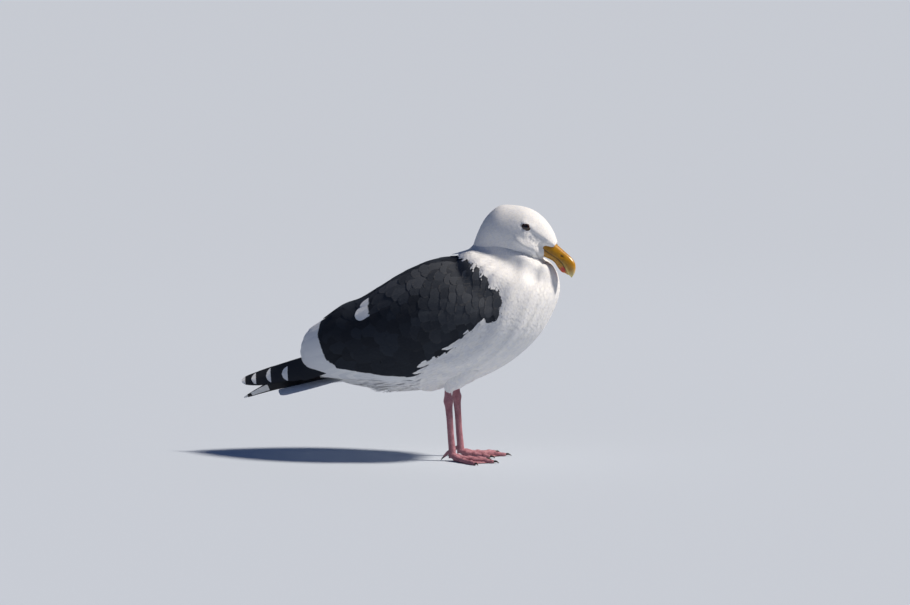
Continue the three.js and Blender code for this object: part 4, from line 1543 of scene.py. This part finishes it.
def between(start, end, bow=0.0):
    """Shaft lines in a surface's two parameters from start to end, bowed sideways at the middle, and
    their heading."""
    along = LEAVES["quill"][0]
    (u0, a0), (u1, a1) = (np.array(p, float).T for p in (start, end))
    u = u0[:, None] + (u1 - u0)[:, None] * along
    a = a0[:, None] + (a1 - a0)[:, None] * along + bow * np.sin(math.pi * along)
    veer = (a1 - a0)[:, None] + bow * math.pi * np.cos(math.pi * along)
    heading = np.broadcast_arrays((u1 - u0)[:, None], veer)
    return u, a, heading


# Tertials of one wing from the top down: row and angle of the root, row and angle of the tip, width.
TERTIALS = [
    [6.6, 30, 10.9, 16, 27],
    [7.0, 46, 11.35, 34, 29],
    [7.2, 62, 11.65, 56, 30],
    [7.3, 78, 11.8, 80, 30],
    [7.2, 93, 11.6, 102, 28],
    [6.6, 106, 11.0, 119, 26],
]
# The secondaries along the wing's lower edge, and the two scapulars whose white tips show, in the same
# way.
SECONDARIES = [
    [tip - 3.0, 106 - 2 * (tip > 9), tip, 131 - 5 * max(0, tip - 9), 24]
    for tip in np.arange(5.6, 10.9, 0.42)
]
SCAPULARS = [[5.6, 44, 7.95, 49, 25], [5.3, 33, 7.75, 36, 20]]


def wing_quills(name, side):
    """One wing's tertials, secondaries and white-tipped scapulars, all laid over the folded wing."""
    along, sides = LEAVES["quill"][:2]
    rows = np.array(SECONDARIES + TERTIALS + SCAPULARS, float)
    few, some, two = len(SECONDARIES), len(TERTIALS), len(SCAPULARS)
    start = np.stack([rows[:, 0], side * rows[:, 1] * DEG], 1)
    end = np.stack([rows[:, 2], side * rows[:, 3] * DEG], 1)
    u, a, heading = between(start, end)
    form = outline(along, 0.80, 0.75)
    out = sides * form * rows[:, 4:5] / 2
    order = np.concatenate([np.linspace(-3.2, -2.6, few), np.linspace(-0.9, -2.4, some), [0.9, 0.7]])[:, None]
    root_depth = np.concatenate([np.full(few, 1.5), np.full(some, 3.0), np.full(two, 5.0)])[:, None]
    stand = order - root_depth * (1 - along) ** 2 - 1.0 * sides ** 2 * form
    white = np.concatenate([np.full(few + some, NO_WHITE), [0.68, 0.80]])
    count = len(rows)
    rng = np.random.default_rng(60 + side)
    values = {"white_from": white, "wear": np.full(count, 0.05), "tone": rng.uniform(0.1, 0.6, count)}
    places = folded, -1, u, a, heading, out, stand
    return quills(f"wing_quills_{name}", *places, SLATE, "slate_plumage", values)


PRIMARY_LEAN = 24 * DEG
PRIMARY_TIPS = np.array([-287.0, -272.5, -251.5, -229.0, -206.0])


def primary_fan(name, side):
    """One wing's closed primaries: each shorter one lies outside the next longer one, and a little
    lower."""
    rows = PRIMARIES[name]
    along, sides = LEAVES["quill"][:2]

    def stack(u, a):
        r = spline(rows, u)
        y = side * (r[..., 1] - a * math.sin(PRIMARY_LEAN))
        return np.stack(np.broadcast_arrays(r[..., 0], y, r[..., 2] + a * math.cos(PRIMARY_LEAN)), -1)

    stations = np.linspace(0, len(rows) - 1, 200)
    tips = np.interp(-PRIMARY_TIPS, -spline(rows, stations)[:, 0], stations)
    order = np.arange(len(tips))[:, None]
    u = 0.1 + (tips[:, None] - 0.1) * along
    depth = spline(rows, u)[..., 3]
    half = np.minimum(depth, 12.5) * (1 - 0.03 * order)
    level = (depth - half) * (1 - order / 2)
    form = outline(along, 0.90 - 0.02 * order, 0.8)
    out = sides * half * form
    heading = (np.ones_like(u), np.zeros_like(u))
    stand = 0.75 * (order - 1.6) - 0.9 * sides ** 2 * form
    # The longest has a white mirror as well as a white tip; the side's own share keeps it under the
    # next feather.
    values = {
        "white_from": np.array([0.94, 0.94, 0.93, 0.915, NO_WHITE]),
        "mirror_from": np.array([0.71] + 4 * [NO_WHITE]),
        "mirror_to": np.array([0.895 if side > 0 else 0.84] + 4 * [NO_WHITE]),
    }
    places = stack, side, u, level + 0 * along, heading, out, stand
    finish = {"values": values, "length": 150.0, "limit": 30.0}
    made = quills(f"primary_quills_{name}", *places, BLACK, "black_plumage", **finish)
    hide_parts(f"primaries_{name}")
    return made


def tail_fan():
    """The closed tail: twelve rectrices side by side on an arched plate, the middle pair on top."""
    along, sides = LEAVES["quill"][:2]

    def plate(u, a):
        t = np.clip(u, 0, 1.1)
        drop = 6 * (a / 31) ** 2
        return np.stack(np.broadcast_arrays(-128 - 108 * t, a, 112 - 27 * t - drop), -1)

    order = (np.arange(12) - 5.5)[:, None]
    reach = 1.0 - 0.0016 * order ** 2
    u = 0.02 + (reach - 0.02) * along
    lateral = order * (2.2 + 1.7 * np.sqrt(along))
    form = outline(along, 0.88, 0.7)
    out = sides * form * 9.5
    stand = -0.25 * np.abs(order) - 0.35 + 0.08 * order * sides - 0.5 * sides ** 2 * form
    heading = np.broadcast_arrays(1.0 + 0 * u, order * 0.9 + 0 * u)
    values = {"tone": np.random.default_rng(70).uniform(0.3, 1, 12)}
    places = plate, -1, u, lateral, heading, out, stand
    made = quills("tail_quills", *places, WHITE, "white_plumage", values, length=108.0, limit=30.0)
    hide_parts("tail")
    return made


head_coat()
body_tract("coat_neck", 21, (7.6, 12.9), NECK_FIELDS)
body_tract("coat_belly", 22, (0.15, 7.9), BELLY_FIELDS, vent_lift)
for side_name, side in SIDES.items():
    thigh_coat(side_name, side)
    wing_quills(side_name, side)
    primary_fan(side_name, side)
tail_fan()
slate_coat()


# ---- Studio ----


def studio():
    """A pale floor, a soft sun as key light from the bird's front, a weak fill and rim, and an even
    sky."""
    size = 16.0
    corners = np.array([[-size, -size, 0], [size, -size, 0], [size, size, 0], [-size, size, 0]]) / MM
    made, tree, shader = new_material("studio_paper", Roughness=0.9)
    painted(made, shader, blend(tree, noise(tree, object_place(tree), 300.0), "#bcc5d0", "#c0c9d4"))
    floor = make_piece("studio_floor", corners, [[0, 1, 2, 3]], [made], None)
    lights = [
        ("fill", (-1.7, -1.9, 1.0), 1.8, 1.0, "#a6c4fa"),
        ("rim", (0.4, 1.9, 1.7), 1.2, 1.0, "#ffffff"),
    ]
    for name, place, width, power, colour in lights:
        data = bpy.data.lights.new(name, "AREA")
        data.shape = "DISK"
        data.size = width
        data.energy = power
        data.color = linear(colour)[:3]
        lamp = bpy.data.objects.new(name, data)
        lamp.location = place
        target = np.array([0.03, 0, 0.2]) - np.array(place)
        lamp.rotation_euler = (
            math.atan2(math.hypot(target[0], target[1]), -target[2]),
            0,
            math.atan2(-target[0], target[1]),
        )
        bpy.context.scene.collection.objects.link(lamp)
    data = bpy.data.lights.new("key", "SUN")
    data.energy = 4.7
    data.angle = 7 * DEG
    data.color = linear("#fff5e8")[:3]
    lamp = bpy.data.objects.new("key", data)
    lamp.rotation_euler = (0.0, 43 * DEG, 2 * DEG)
    bpy.context.scene.collection.objects.link(lamp)
    world = bpy.data.worlds.new("sky")
    world.use_nodes = True
    world.node_tree.nodes["Background"].inputs[0].default_value = linear("#82a7ee")
    world.node_tree.nodes["Background"].inputs[1].default_value = 0.17
    bpy.context.scene.world = world
    bpy.context.scene.view_settings.view_transform = "Standard"


def camera():
    """A long lens a little above the bird, turned slightly towards its front."""
    azimuth, elevation, distance = 12.5 * DEG, 6.0 * DEG, 8.0
    target = np.array([ORIGIN[0] * MM, 0, 0.2045])
    back = np.array([
        math.sin(azimuth) * math.cos(elevation),
        -math.cos(azimuth) * math.cos(elevation),
        math.sin(elevation),
    ])
    data = bpy.data.cameras.new("camera")
    data.sensor_width = 36
    data.lens = 243.4
    data.clip_end = 60
    made = bpy.data.objects.new("camera", data)
    made.location = target + back * distance
    made.rotation_euler = (math.pi / 2 - elevation, 0, azimuth)
    bpy.context.scene.collection.objects.link(made)
    bpy.context.scene.camera = made


studio()
camera()
